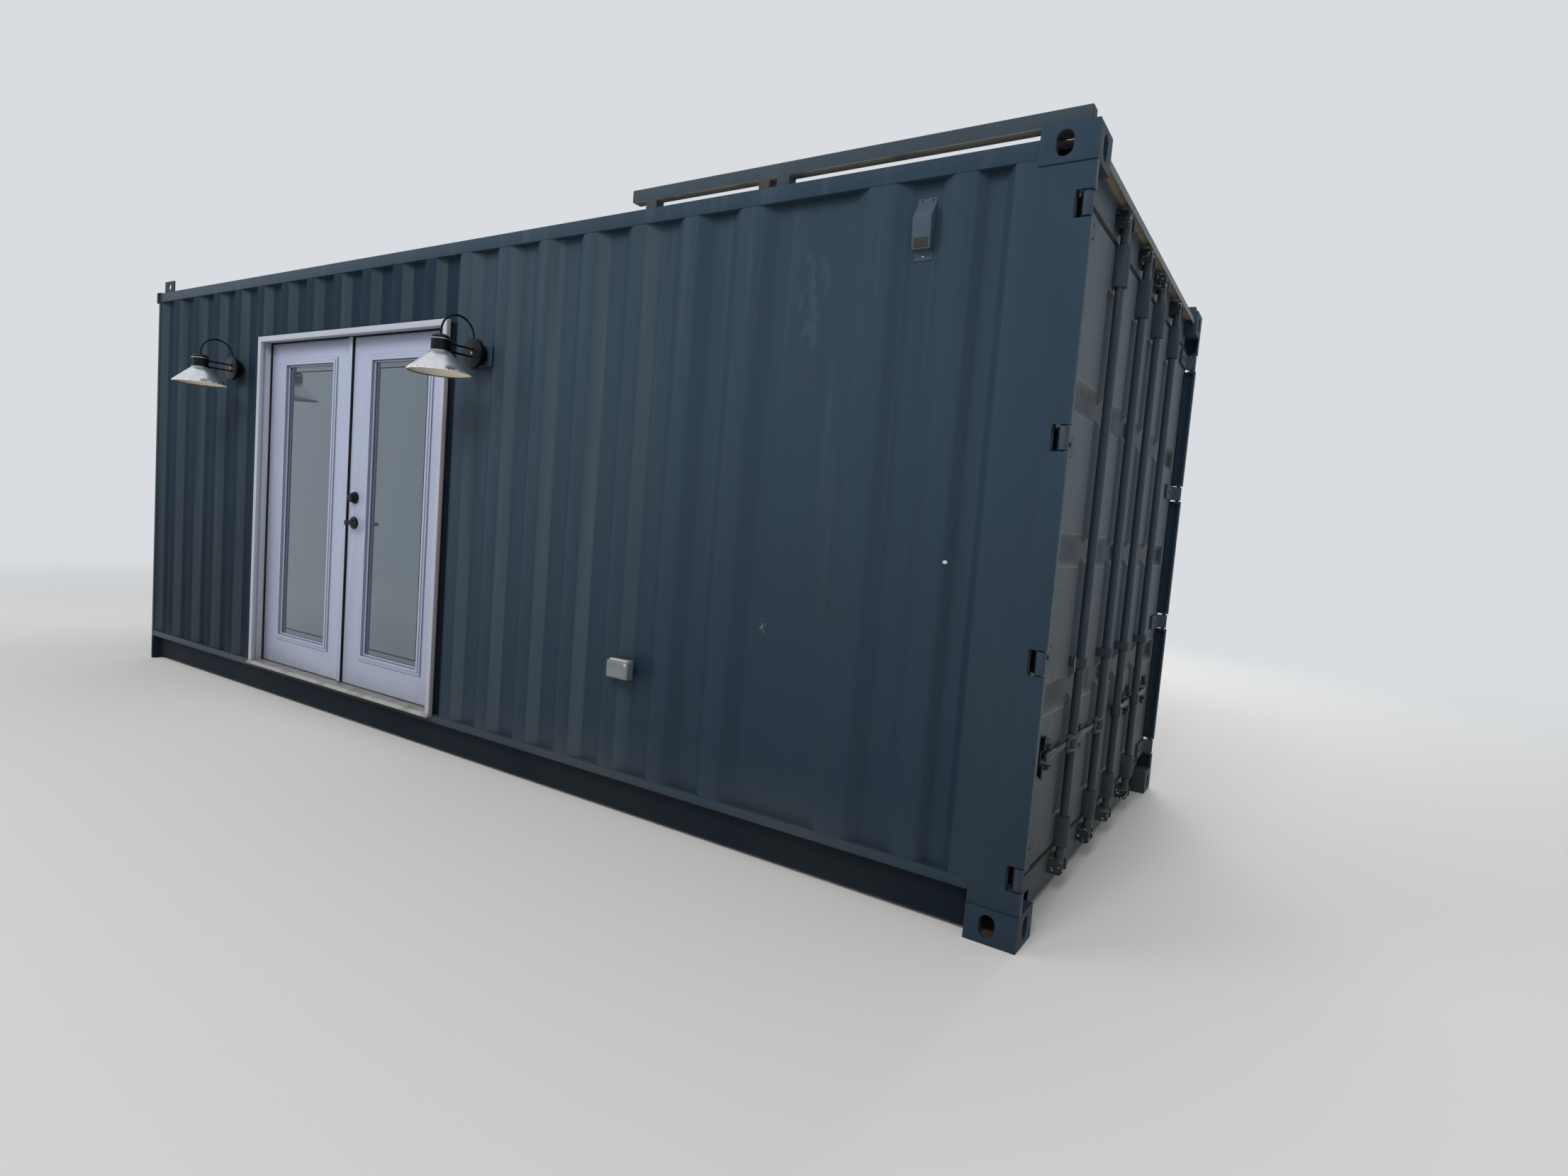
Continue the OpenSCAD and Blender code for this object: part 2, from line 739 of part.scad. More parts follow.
module doorway_jambs() {
  pin_h = 3 * butt_pitch - 1;
  color("#e8e8e4") translate([-doorway_x, 0, 0]) for (s = [-1, 1]) {
    slab([s > 0 ? clear_w / 2 : -jamb_out, s > 0 ? jamb_out : -clear_w / 2],
      [wall_y, lining_in], [bottom_rail_top, clear_top]);
    for (z = leaf_hinge_heights)
      translate([s * (clear_w / 2 - leaf_gap / 2), leaf_pin_y, z]) {
        translate([0, 0, -pin_h / 2]) cylinder(r = butt_pin_r, h = pin_h);
        for (k = [-1, 1]) translate([0, 0, k * butt_pitch]) butt_knuckle(s > 0 ? 0 : -butt_w);
      }
  }
}
// Knuckle and plate of a hinge of the glazed doors, with the plate starting at x
module butt_knuckle(x) {
  h = butt_pitch - 1;
  translate([0, 0, -h / 2]) {
    cylinder(r = butt_r, h = h);
    translate([x, lining_in - leaf_pin_y, 0]) cube([butt_w, butt_t, h]);
  }
}
module doorway_head() {
  color("#e8e8e4") slab([-doorway_x - jamb_out, -doorway_x + jamb_out],
    [wall_y, lining_in], [clear_top, head_out]);
}
module doorway_trim() {
  a = doorway_w / 2;
  b = a - trim_w;
  color("#f0f0ee") translate([-doorway_x, wall_y, 0]) rotate([90, 0, 0])
    linear_extrude(trim_t) difference() {
      translate([-a, threshold_top]) square([2 * a, doorway_top - threshold_top]);
      translate([-b, 0]) square([2 * b, doorway_top - trim_w]);
    }
}
module threshold() {
  z = bottom_rail_top;
  nose = [[-nose_out, z - nose_h], [face_inset, z - nose_h], [face_inset, z], [wall_y, z],
    [wall_y, threshold_top], [wall_y - trim_t, threshold_top], [-nose_out, z - 2]];
  inner = [[wall_y - 1, z], [lining_in, z], [lining_in, threshold_top],
    [wall_y - 1, threshold_top]];
  color("#dcdcd8") translate([-doorway_x, 0, 0]) rotate([90, 0, 90]) {
    linear_extrude(doorway_w, center = true) polygon(nose);
    linear_extrude(clear_w, center = true) polygon(inner);
  }
}

// A shape at each of the two lamps, in the lamp's own frame at the wall
module at_lamps() {
  for (s = [-1, 1]) translate([-doorway_x - lamp_shift + s * lamp_x, wall_y, lamp_z]) children();
}
lamp_out = lamp_reach + wall_y;
module lamp_arms() {
  loop_r = (lamp_out - lamp_box_d - plate_t / 2) / 2;
  loop_z = plate_r - 4;
  color("#1c1c1e") at_lamps() {
    rotate([90, 0, 0]) cylinder(r = plate_r - 21, h = lamp_box_d);
    translate([0, -lamp_box_d, 0]) rotate([90, 0, 0]) cylinder(r = plate_r, h = plate_t);
    for (z = [-bar_rise, bar_rise]) translate([0, -lamp_box_d, z]) rotate([90, 0, 0])
      cylinder(r = wire_r, h = lamp_out - lamp_box_d - holder_r + 6);
    translate([0, -lamp_out, 0]) {
      translate([0, 0, -holder_half]) cylinder(r = holder_r, h = 2 * holder_half);
      translate([0, 0, holder_half - 6]) cylinder(r = holder_r + 3, h = 5);
      translate([0, 0, holder_half]) rotate_extrude() lamp_cap_2d();
      translate([0, 0, holder_half + 20]) cylinder(r = wire_r, h = loop_z - holder_half - 20);
    }
    translate([0, loop_r - lamp_out, loop_z]) rotate([90, 0, 90]) difference() {
      rotate_extrude() translate([loop_r, 0]) circle(r = wire_r);
      translate([-2 * loop_r, -2 * loop_r, -10]) cube([4 * loop_r, 2 * loop_r, 20]);
    }
  }
}
module lamp_cap_2d() {
  r = holder_r;
  polygon([[0, 0], [r, 0], [r - 2, 8], [r - 9, 15], [r - 22, 20], [0, 22]]);
}
module lamp_shades() {
  t = shade_t;
  top_r = holder_r + 3;
  low = -shade_h - shade_rim;
  color("#b8bcc0") at_lamps() translate([0, -lamp_out, -holder_half]) rotate_extrude()
    polygon([[top_r, 0], [shade_r, -shade_h], [shade_r, low], [shade_r - t, low],
      [shade_r - t, -shade_h], [top_r - 2, -t], [top_r / 2, -t], [top_r / 2, 0]]);
}
module lamp_bulbs() {
  neck_r = bulb_r / 2;
  neck_from = 18;
  drop = holder_half + 40;
  color("#f2efe4") at_lamps() translate([0, -lamp_out, -drop]) {
    sphere(r = bulb_r);
    translate([0, 0, neck_from]) cylinder(r = neck_r, h = drop - holder_half - neck_from);
  }
}

// Plate over the recess behind the right lamp, on a foot that stands on the recess's floor
module lamp_block() {
  grooves_off = round((doorway_x + lamp_shift - lamp_x - groove_first_x) / groove_pitch);
  x = -groove_first_x - grooves_off * groove_pitch;
  color("#3b4a58") translate([x, wall_y, lamp_z - block_drop]) {
    slab([-block_w / 2, block_w / 2], [0, block_t], [0, block_h]);
    slab([-block_foot / 2, block_foot / 2], [block_t - 1, groove_d], [6, block_h - 6]);
  }
}
module wall_vent() {
  t = 3;
  y = wall_y + groove_d;
  z0 = rail_low - vent_drop - vent_h;
  z1 = z0 + vent_h;
  hood_low = z0 + 31;
  hood_bend = z1 - 70;
  profile = [[y, z1], [y, z0], [y - t, z0], [y - t, hood_low], [y - vent_out + 10, hood_low],
    [y - vent_out, hood_bend], [y - t, z1 - 16], [y - t, z1]];
  color("#55616b") translate([-single_groove_x, 0, 0]) rotate([90, 0, 90])
    linear_extrude(vent_w, center = true) polygon(profile);
}
module outlet_box() {
  color("#b9b8b0") translate([-outlet_x, wall_y, outlet_z])
    slab([-outlet_w / 2, outlet_w / 2], [-outlet_d, 0], [0, outlet_h]);
}

module roof_frame() {
  t = roof_tube;
  y = roof_tube_in;
  color("#46525c") {
    both_sides() {
      slab([-roof_tube_x - roof_tube_l, -roof_tube_x], [y, y + t], [body_h, body_h + t]);
      for (x = [roof_stub_a, roof_stub_b]) translate([-x, 0, 0])
        slab([-roof_stub / 2, roof_stub / 2], [y, y + t], [rail_top, body_h]);
    }
    translate([-roof_cross_x, 0, 0])
      slab([-t / 2, t / 2], [y, body_w - y], [rail_top, body_h]);
  }
}
module roof_tab() {
  color("#2e3438") translate([-body_l + tab_from_end, tab_in, rail_top]) difference() {
    cube([tab_w, tab_t, tab_h]);
    translate([tab_w / 2, tab_t / 2, tab_h / 2]) rotate([90, 0, 0])
      cylinder(r = tab_hole_r, h = tab_t + 2, center = true);
  }
}

// Rod places across the body
near_rods = [body_w / 2 - outer_rod_y, body_w / 2 - inner_rod_y];
module rod_keepers() {
  out_x = -10;
  lip = 6;
  color("#46525c") both_sides() for (y = near_rods)
    for (z = [rod_low + 2, rod_z1 - 2 - keeper_h]) translate([0, y, z]) {
      slab([frame_face, frame_face + 3],
        [-keeper_half - horn_t - 2, keeper_half + horn_t + 2], [0, keeper_h]);
      for (s = [-1, 1]) translate([0, s * (keeper_half + horn_t / 2), 0]) rotate([90, 0, 0])
        linear_extrude(horn_t, center = true) polygon([[frame_face, 0],
          [out_x - lip, 0], [out_x, lip], [out_x, keeper_h - 3 * lip],
          [out_x - 2 * lip, keeper_h], [frame_face, keeper_h]]);
    }
}

module leaf(s) {
  x0 = s > 0 ? -doorway_x - clear_w / 2 + leaf_gap : -doorway_x + meeting_gap / 2;
  xm = x0 + glazed_w / 2;
  zl = leaf_z + lite_rise;
  difference() {
    union() {
      slab([x0, x0 + glazed_w], [leaf_y0, leaf_y1], [leaf_z, glazed_top]);
      lite_block(xm, zl, lite_frame_w, lite_frame_t - 4);
      lite_block(xm, zl, lite_frame_w / 2, lite_frame_t);
    }
    slab([xm - lite_w / 2, xm + lite_w / 2], [leaf_y0 - glass_t, leaf_y1 + glass_t],
      [zl, zl + lite_h]);
    if (s < 0) translate([lock_x, leaf_y0 - 1, lever_z]) rotate([-90, 0, 0])
      cylinder(r = spindle_r + 1, h = leaf_t + 2);
  }
  hx = s > 0 ? x0 - leaf_gap / 2 : x0 + glazed_w + leaf_gap / 2;
  for (z = leaf_hinge_heights) translate([hx, leaf_pin_y, z]) difference() {
    butt_knuckle(s > 0 ? 0 : -butt_w);
    cylinder(r = butt_pin_r + 0.4, h = butt_pitch + 2, center = true);
  }
}
module lite_block(xm, zl, w, t) {
  slab([xm - lite_w / 2 - w, xm + lite_w / 2 + w], [leaf_y0 - t, leaf_y1 + t],
    [zl - w, zl + lite_h + w]);
}
module left_leaf() {
  x1 = -doorway_x - meeting_gap / 2;
  color("#f2f2f0") {
    leaf(1);
    slab([x1 - astragal_w, x1], [leaf_y0 - astragal_t, leaf_y0], [leaf_z, glazed_top]);
  }
}
module right_leaf() {
  color("#f2f2f0") leaf(-1);
}
module leaf_glass(s) {
  xm = -doorway_x - s * (meeting_gap + glazed_w) / 2;
  zl = leaf_z + lite_rise;
  mid = (leaf_y0 + leaf_y1) / 2;
  slab([xm - lite_w / 2, xm + lite_w / 2], [mid - glass_t / 2, mid + glass_t / 2],
    [zl, zl + lite_h]);
}
module left_leaf_glass() {
  color("#8fa0a8") leaf_glass(1);
}
module right_leaf_glass() {
  color("#8fa0a8") leaf_glass(-1);
}
module door_lock() {
  color("#1c1c1e") {
    translate([lock_x, leaf_y0, bolt_z]) rotate([90, 0, 0]) {
      cylinder(r = rose_r - 1, h = rose_t + 1);
      cylinder(r1 = rose_r - 3, r2 = rose_r - 12, h = bolt_out);
    }
    translate([lock_x, leaf_y0, lever_z]) rotate([90, 0, 0]) difference() {
      cylinder(r = rose_r, h = rose_t);
      translate([0, 0, -1]) cylinder(r = spindle_r + 1, h = rose_t + 2);
    }
  }
}
module door_lever() {
  half_h = 9;
  hub_r = 15;
  color("#1c1c1e") translate([lock_x, 0, lever_z]) {
    translate([0, leaf_y0 - lever_out, 0]) rotate([-90, 0, 0])
      cylinder(r = spindle_r, h = leaf_t + lever_out + lever_in + lever_t);
    for (y = [leaf_y0 - lever_out, leaf_y1 + lever_in]) {
      slab([0, lever_l], [y, y + lever_t], [-half_h, half_h]);
      translate([0, y, 0]) rotate([-90, 0, 0]) cylinder(r = hub_r, h = lever_t);
    }
  }
}

rod_groove = [cargo_z + groove_end, cargo_z + cargo_h - groove_end - 40];
end_guides = [[cargo_z + 4, cargo_z + groove_end - 12],
  [cargo_z + cargo_h - groove_end - 26, cargo_z + cargo_h - 9]];
field_gaps = [for (i = [-1:1])
  let (z = cargo_z + cargo_h / 2 + 6 + i * field_pitch) [z - field_gap_h / 2, z + field_gap_h / 2]];
module cargo_door() {
  y0 = cargo_edge;
  d = field_d;
  side = groove_side;
  edge = groove_half;
  difference() {
    slab([cargo_inner, cargo_face], [y0, y0 + cargo_w], [cargo_z, cargo_z + cargo_h]);
    for (g = field_gaps) translate([0, y0 + edge, 0]) rotate([90, 0, 0]) mirror([0, 0, 1])
      linear_extrude(cargo_w - 2 * edge) polygon([[cargo_face + 1, g[0]], [cargo_face, g[0]],
        [cargo_face - d, g[0] + side], [cargo_face - d, g[1] - side], [cargo_face, g[1]],
        [cargo_face + 1, g[1]]]);
    for (y = near_rods) translate([0, 0, rod_groove[0]])
      linear_extrude(rod_groove[1] - rod_groove[0])
      polygon([[cargo_face + 1, y - edge - side], [cargo_face, y - edge - side],
        [cargo_face - d, y - edge], [cargo_face - d, y + edge],
        [cargo_face, y + edge + side], [cargo_face + 1, y + edge + side]]);
  }
}
module near_cargo_door() {
  color("#55606a") cargo_door();
}
module far_cargo_door() {
  color("#55606a") far_side() cargo_door();
}
// Hinge blade in plan: knuckle, cranked neck and flat strap on the door's face
module blade_2d() {
  a = -cargo_back + pin_back;
  b = a + blade_t;
  difference() {
    union() {
      circle(r = knuckle_r);
      polygon([[-knuckle_r, 0], [a, blade_from + 1], [b, blade_from + 1], [8, knuckle_r - 2]]);
      translate([a, blade_from]) square([blade_t, blade_l]);
    }
    circle(r = pin_r + 0.5);
  }
}
module door_hinges() {
  for (z = hinge_heights) translate([-pin_back, pin_back, z - blade_h / 2])
    linear_extrude(blade_h) blade_2d();
}
module near_door_hinges() {
  color("#46525c") door_hinges();
}
module far_door_hinges() {
  color("#46525c") far_side() door_hinges();
}
module rod_guide(y, x, z) {
  half = guide_w / 2;
  difference() {
    union() {
      slab([x, -rod_back], [y - half, y + half], z);
      translate([-rod_back, y, z[0]]) cylinder(r = half - 1, h = z[1] - z[0]);
    }
    translate([-rod_back, y, z[0] - 1]) cylinder(r = rod_r + 0.5, h = z[1] - z[0] + 2);
  }
}
module rod_guides() {
  for (y = near_rods) {
    for (z = end_guides) rod_guide(y, cargo_face, z);
    rod_guide(y, cargo_face - field_d, [guide_z - guide_h / 2, guide_z + guide_h / 2]);
    translate([0, y, 0]) handle_catch();
  }
}
module handle_catch() {
  plate = [5, 110, 100];
  hook = [28, 50, 8];
  translate([cargo_face, -handle_l, handle_z]) {
    translate([0, -20, -plate[2] / 2]) cube(plate);
    for (z = [-42, 34]) translate([0, 0, z]) cube(hook);
  }
}
module near_rod_guides() {
  color("#46525c") rod_guides();
}
module far_rod_guides() {
  color("#46525c") far_side() rod_guides();
}
// Locking rod with its handle and the cams at its ends
module rod(y) {
  hub_r = rod_r + 6;
  hub_h = 44;
  arm_x = -14;
  translate([-rod_back, y, 0]) {
    translate([0, 0, rod_low]) cylinder(r = rod_r, h = rod_z1 - rod_low);
    for (z = [rod_low + 5, rod_z1 - cam_h - 5]) translate([0, 0, z]) difference() {
      cylinder(r = cam_r, h = cam_h);
      translate([8, -cam_r - 6, -1]) cube([cam_r, 2 * cam_r + 12, cam_h + 2]);
    }
    translate([0, 0, handle_z - hub_h / 2]) cylinder(r = hub_r, h = hub_h);
    translate([arm_x, 0, handle_z]) rotate([90, 0, 90]) linear_extrude(handle_t) handle_2d();
  }
}
// Outline of a handle from the rod's hub at 0 to the grip's end
module handle_2d() {
  wide = handle_h / 2;
  slim = wide - 5;
  polygon([[0, -wide], [0, wide], [-30, wide], [-60, slim], [-handle_l + 130, slim],
    [-handle_l + 110, wide], [-handle_l + 8, wide], [-handle_l, wide - 8],
    [-handle_l, 8 - wide], [-handle_l + 8, -wide], [-handle_l + 110, -wide],
    [-handle_l + 130, -slim], [-60, -slim], [-30, -wide]]);
}
module near_outer_rod() {
  color("#2c343a") rod(near_rods[0]);
}
module near_inner_rod() {
  color("#2c343a") rod(near_rods[1]);
}
module far_inner_rod() {
  color("#2c343a") far_side() rod(near_rods[1]);
}
module far_outer_rod() {
  color("#2c343a") far_side() rod(near_rods[0]);
}

// Moves the body's frame to the middle of the base
module placed() {
  translate([-origin_x, -origin_y, 0]) children();
}

placed() bottom_side_rails();
placed() top_side_rails();
placed() cross_members();
placed() end_frame();
placed() end_wall();
placed() rear_corner_posts();
placed() top_corner_castings();
placed() bottom_corner_castings();
placed() door_header();
placed() door_sill();
placed() roof_panel();
placed() wall_left_of_doorway();
placed() wall_over_doorway();
placed() wall_right_of_doorway();
placed() back_wall();
placed() lining_left_of_doorway();
placed() lining_over_doorway();
placed() lining_right_of_doorway();
placed() back_lining();
placed() end_lining();
placed() ceiling_lining();
placed() floor_boards();
placed() doorway_jambs();
placed() doorway_head();
placed() doorway_trim();
placed() threshold();
placed() lamp_arms();
placed() lamp_shades();
placed() lamp_bulbs();
placed() lamp_block();
placed() wall_vent();
placed() outlet_box();
placed() roof_frame();
placed() roof_tab();
placed() rod_keepers();
placed() left_leaf();
placed() left_leaf_glass();
placed() right_leaf();
placed() right_leaf_glass();
placed() door_lock();
placed() door_lever();
placed() near_cargo_door();
placed() near_door_hinges();
placed() near_rod_guides();
placed() far_cargo_door();
placed() far_door_hinges();
placed() far_rod_guides();
placed() near_outer_rod();
placed() near_inner_rod();
placed() far_inner_rod();
placed() far_outer_rod();
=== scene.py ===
import json
import math
import bpy
from mathutils import Matrix, Vector


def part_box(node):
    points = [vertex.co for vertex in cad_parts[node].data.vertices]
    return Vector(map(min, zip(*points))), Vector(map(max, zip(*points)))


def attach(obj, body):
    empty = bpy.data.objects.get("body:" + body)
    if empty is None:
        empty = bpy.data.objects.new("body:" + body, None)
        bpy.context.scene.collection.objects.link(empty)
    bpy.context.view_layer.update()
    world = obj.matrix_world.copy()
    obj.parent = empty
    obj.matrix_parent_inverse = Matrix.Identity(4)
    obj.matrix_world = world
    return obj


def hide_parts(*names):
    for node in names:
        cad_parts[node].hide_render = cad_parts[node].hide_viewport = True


# The cabin as it was packed. All measures below are millimetres on the body itself: x is 0 at the
# door end and falls towards the plain end, y goes in from the near long side, and z goes up.
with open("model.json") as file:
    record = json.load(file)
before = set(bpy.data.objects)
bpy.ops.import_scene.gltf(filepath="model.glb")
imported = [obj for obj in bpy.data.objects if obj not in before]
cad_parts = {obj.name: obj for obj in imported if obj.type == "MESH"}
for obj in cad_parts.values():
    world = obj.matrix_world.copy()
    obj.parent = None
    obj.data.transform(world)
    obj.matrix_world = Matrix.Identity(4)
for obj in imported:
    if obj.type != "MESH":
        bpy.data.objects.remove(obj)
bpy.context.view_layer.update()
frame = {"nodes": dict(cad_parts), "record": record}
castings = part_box("bottom_corner_castings")


def at(x, y, z):
    """A place on the body, in metres in the frame."""
    return Vector((castings[1].x + x / 1000, castings[0].y + y / 1000, z / 1000))


# The camera stands off the near corner at eye height, close in with a short lens, tipped down and
# rolled a little, which is how the long side runs away to the left in the photograph.
image_w, image_h = 2212, 1659
focal_px, middle_px = 1193.13, (1108.32, 828.08)
eye, turn = (700.1, -2650.3, 1316.8), (85.6555, -4.5378, 32.6414)
sensor_w, seen_as_far_as = 36, 200
lens = bpy.data.cameras.new("camera")
lens.sensor_width = sensor_w
lens.lens = focal_px / image_w * sensor_w
lens.shift_x = (image_w / 2 - middle_px[0]) / image_w
lens.shift_y = (middle_px[1] - image_h / 2) / image_w
lens.clip_end = seen_as_far_as
camera = bpy.data.objects.new("camera", lens)
bpy.context.collection.objects.link(camera)
camera.location = at(*eye)
camera.rotation_euler = [math.radians(a) for a in turn]
bpy.context.scene.camera = camera


# The studio: a pale floor that takes the cabin's shadow and runs off into an even pale surround,
# and broad soft lamps high on the right, on the left and behind, so that the wall's folds show.
class Signal:
    """A value or a colour that varies over a surface. Sums on it add their own maths nodes."""

    def __init__(self, recipe, socket):
        self.recipe = recipe
        self.socket = socket

    def reckon(self, operation, first, second=0.0):
        return self.recipe.node("ShaderNodeMath", {"operation": operation}, {0: first, 1: second})

    def __add__(self, other):
        return self.reckon("ADD", self, other)

    def __sub__(self, other):
        return self.reckon("SUBTRACT", self, other)

    def __rsub__(self, other):
        return self.reckon("SUBTRACT", other, self)

    def __mul__(self, other):
        return self.reckon("MULTIPLY", self, other)

    def __truediv__(self, other):
        return self.reckon("DIVIDE", self, other)

    def __rtruediv__(self, other):
        return self.reckon("DIVIDE", other, self)

    def __abs__(self):
        return self.reckon("ABSOLUTE", self)

    def __neg__(self):
        return self.reckon("SUBTRACT", 0, self)

    def fraction(self):
        return self.reckon("FRACT", self)

    def over(self, other):
        return self.reckon("MAXIMUM", self, other)

    def ramp(self, low, high):
        """0 below low, 1 above high, and smooth between them."""
        return self.recipe.node("ShaderNodeMapRange", {"interpolation_type": "SMOOTHSTEP"},
                                {"Value": self, "From Min": low, "From Max": high})

    __radd__ = __add__
    __rmul__ = __mul__


class Recipe:
    """The node tree of a surface or of the surround, written as sums on signals."""

    def __init__(self, tree):
        self.tree = tree

    def node(self, kind, settings=None, values=None, out=0):
        made = self.tree.nodes.new(kind)
        for name, value in (settings or {}).items():
            setattr(made, name, value)
        for name, value in (values or {}).items():
            self.put(made.inputs[name], value)
        return Signal(self, made.outputs[out])

    def put(self, socket, value):
        if isinstance(value, Signal):
            self.tree.links.new(value.socket, socket)
        else:
            socket.default_value = value

    def shown(self):
        """1 for what the camera, a reflection or a pane shows, and 0 for the light that falls."""
        to_camera, in_gloss, through_pane = [
            self.node("ShaderNodeLightPath", out=ray)
            for ray in ("Is Camera Ray", "Is Glossy Ray", "Is Transmission Ray")]
        return to_camera.over(in_gloss).over(through_pane)


class Finish(Recipe):
    """A material. Its constants are given once, and what varies is set on its shader."""

    def __init__(self, name, **constants):
        self.material = bpy.data.materials.new(name)
        self.material.use_nodes = True
        super().__init__(self.material.node_tree)
        self.shader = self.tree.nodes["Principled BSDF"]
        self.place = self.node("ShaderNodeTexCoord", out="Object")
        self.bump = None
        for socket, value in constants.items():
            self.set(socket.replace("_", " "), value)

    def set(self, socket, value):
        self.put(self.shader.inputs[socket], value)
        return self

    def noise(self, size, detail=3.0, stretch=(1, 1, 1)):
        """Cloudy noise whose blotches are about this many metres across."""
        place = self.node("ShaderNodeMapping", {}, {
            "Vector": self.place, "Scale": [s / size for s in stretch]})
        return self.node("ShaderNodeTexNoise", {"noise_dimensions": "3D"},
                         {"Vector": place, "Scale": 1.0, "Detail": detail})

    def along(self, axis):
        """The place along X, Y or Z on the body, in millimetres."""
        split = self.node("ShaderNodeSeparateXYZ", {}, {"Vector": self.place},
                          out="XYZ".index(axis))
        start = {"X": castings[1].x, "Y": castings[0].y, "Z": 0.0}[axis]
        return (split - start) * 1000

    def facing(self, axis):
        """How far the surface faces along X, Y or Z, from -1 to 1."""
        normal = self.node("ShaderNodeNewGeometry", out="Normal")
        return self.node("ShaderNodeSeparateXYZ", {}, {"Vector": normal}, out="XYZ".index(axis))

    def mix(self, share, first, second):
        return self.node("ShaderNodeMix", {"data_type": "RGBA"},
                         {0: share, 6: first, 7: second}, out=2)

    def relief(self, height, depth, strength=1.0):
        """Bumps of this depth in metres, over those that are there already."""
        values = {"Strength": strength, "Distance": depth, "Height": height}
        if self.bump:
            values["Normal"] = self.bump
        self.bump = self.node("ShaderNodeBump", {}, values)
        return self.set("Normal", self.bump)


def paint(red, green, blue):
    """A colour as it looks in the photograph, 0 to 255, made linear for the shader."""
    parts = [c / 255 for c in (red, green, blue)]
    return (*[c / 12.92 if c <= 0.04045 else ((c + 0.055) / 1.055) ** 2.4 for c in parts], 1.0)


surround_pale, floor_pale = paint(222, 226, 230), paint(214, 213, 210)
ambient_level, shown_level = 0.55, 0.95
floor_size, floor_drop = 160, 0.002
floor_fades_from, floor_fades_to = 4.5, 12.0
bpy.ops.object.select_all(action="DESELECT")
bpy.ops.mesh.primitive_plane_add(size=floor_size, location=(0, 0, -floor_drop))
floor = bpy.context.object
floor.name = "studio_floor"
studio_coat = Finish("studio_floor", Roughness=0.9)
studio_coat.set("Base Color", floor_pale)
from_middle = studio_coat.node("ShaderNodeVectorMath", {"operation": "LENGTH"},
                               {0: studio_coat.place}, out="Value")
glow = studio_coat.node("ShaderNodeEmission", {}, {"Color": surround_pale,
                                                   "Strength": shown_level})
surface = studio_coat.node("ShaderNodeMixShader", {}, {
    0: from_middle.ramp(floor_fades_from, floor_fades_to) * studio_coat.shown(),
    1: Signal(studio_coat, studio_coat.shader.outputs["BSDF"]), 2: glow})
studio_coat.put(studio_coat.tree.nodes["Material Output"].inputs["Surface"], surface)
floor.data.materials.append(studio_coat.material)

world = bpy.data.worlds.new("surround")
world.use_nodes = True
bpy.context.scene.world = world
surround = Recipe(world.node_tree)
background = world.node_tree.nodes["Background"]
surround.put(background.inputs["Color"], surround_pale)
surround.put(background.inputs["Strength"], surround.node("ShaderNodeMapRange", {}, {
    "Value": surround.shown(), "To Min": ambient_level, "To Max": shown_level}))
bpy.context.scene.view_settings.view_transform = "Standard"


def soft_lamp(name, place, aim, size, power):
    """A square panel lamp that faces its aim."""
    light = bpy.data.lights.new(name, "AREA")
    light.size = size
    light.energy = power
    lamp = bpy.data.objects.new(name, light)
    bpy.context.collection.objects.link(lamp)
    lamp.location = place
    lamp.rotation_euler = (Vector(place) - Vector(aim)).to_track_quat("Z", "Y").to_euler()
    lamp.visible_glossy = False


soft_lamp("key_lamp", (3.0, -9.5, 9.5), (0.0, -0.5, 1.2), 5.0, 850)
soft_lamp("fill_lamp", (-7.0, -9.0, 6.0), (-1.0, 0.0, 1.0), 6.0, 380)
soft_lamp("back_lamp", (1.0, 9.0, 7.5), (0.0, 0.5, 1.4), 6.0, 700)


# Rails, posts and end frame: folded steel plate, welded into the cage that all the rest hangs on.
# They are sprayed slate over an older colour, chalky high up where the sun bleaches it, with rain
# streaks down it and dust and rust specks low down. Under the rail's lip, short of the castings,
# the paint is near black as painted shade.
slate_high, slate_low = paint(42, 58, 71), paint(25, 40, 54)
slate_chalk, slate_lit_slope, slate_dust = paint(70, 83, 93), paint(90, 101, 104), paint(80, 82, 78)
rust_dark, rust_light = paint(62, 42, 32), paint(90, 64, 47)
painted_light_levels, chalk_levels, dust_levels = (250, 2000), (300, 2300), (60, 420)
lit_slopes_fade = (-1900, -1500)


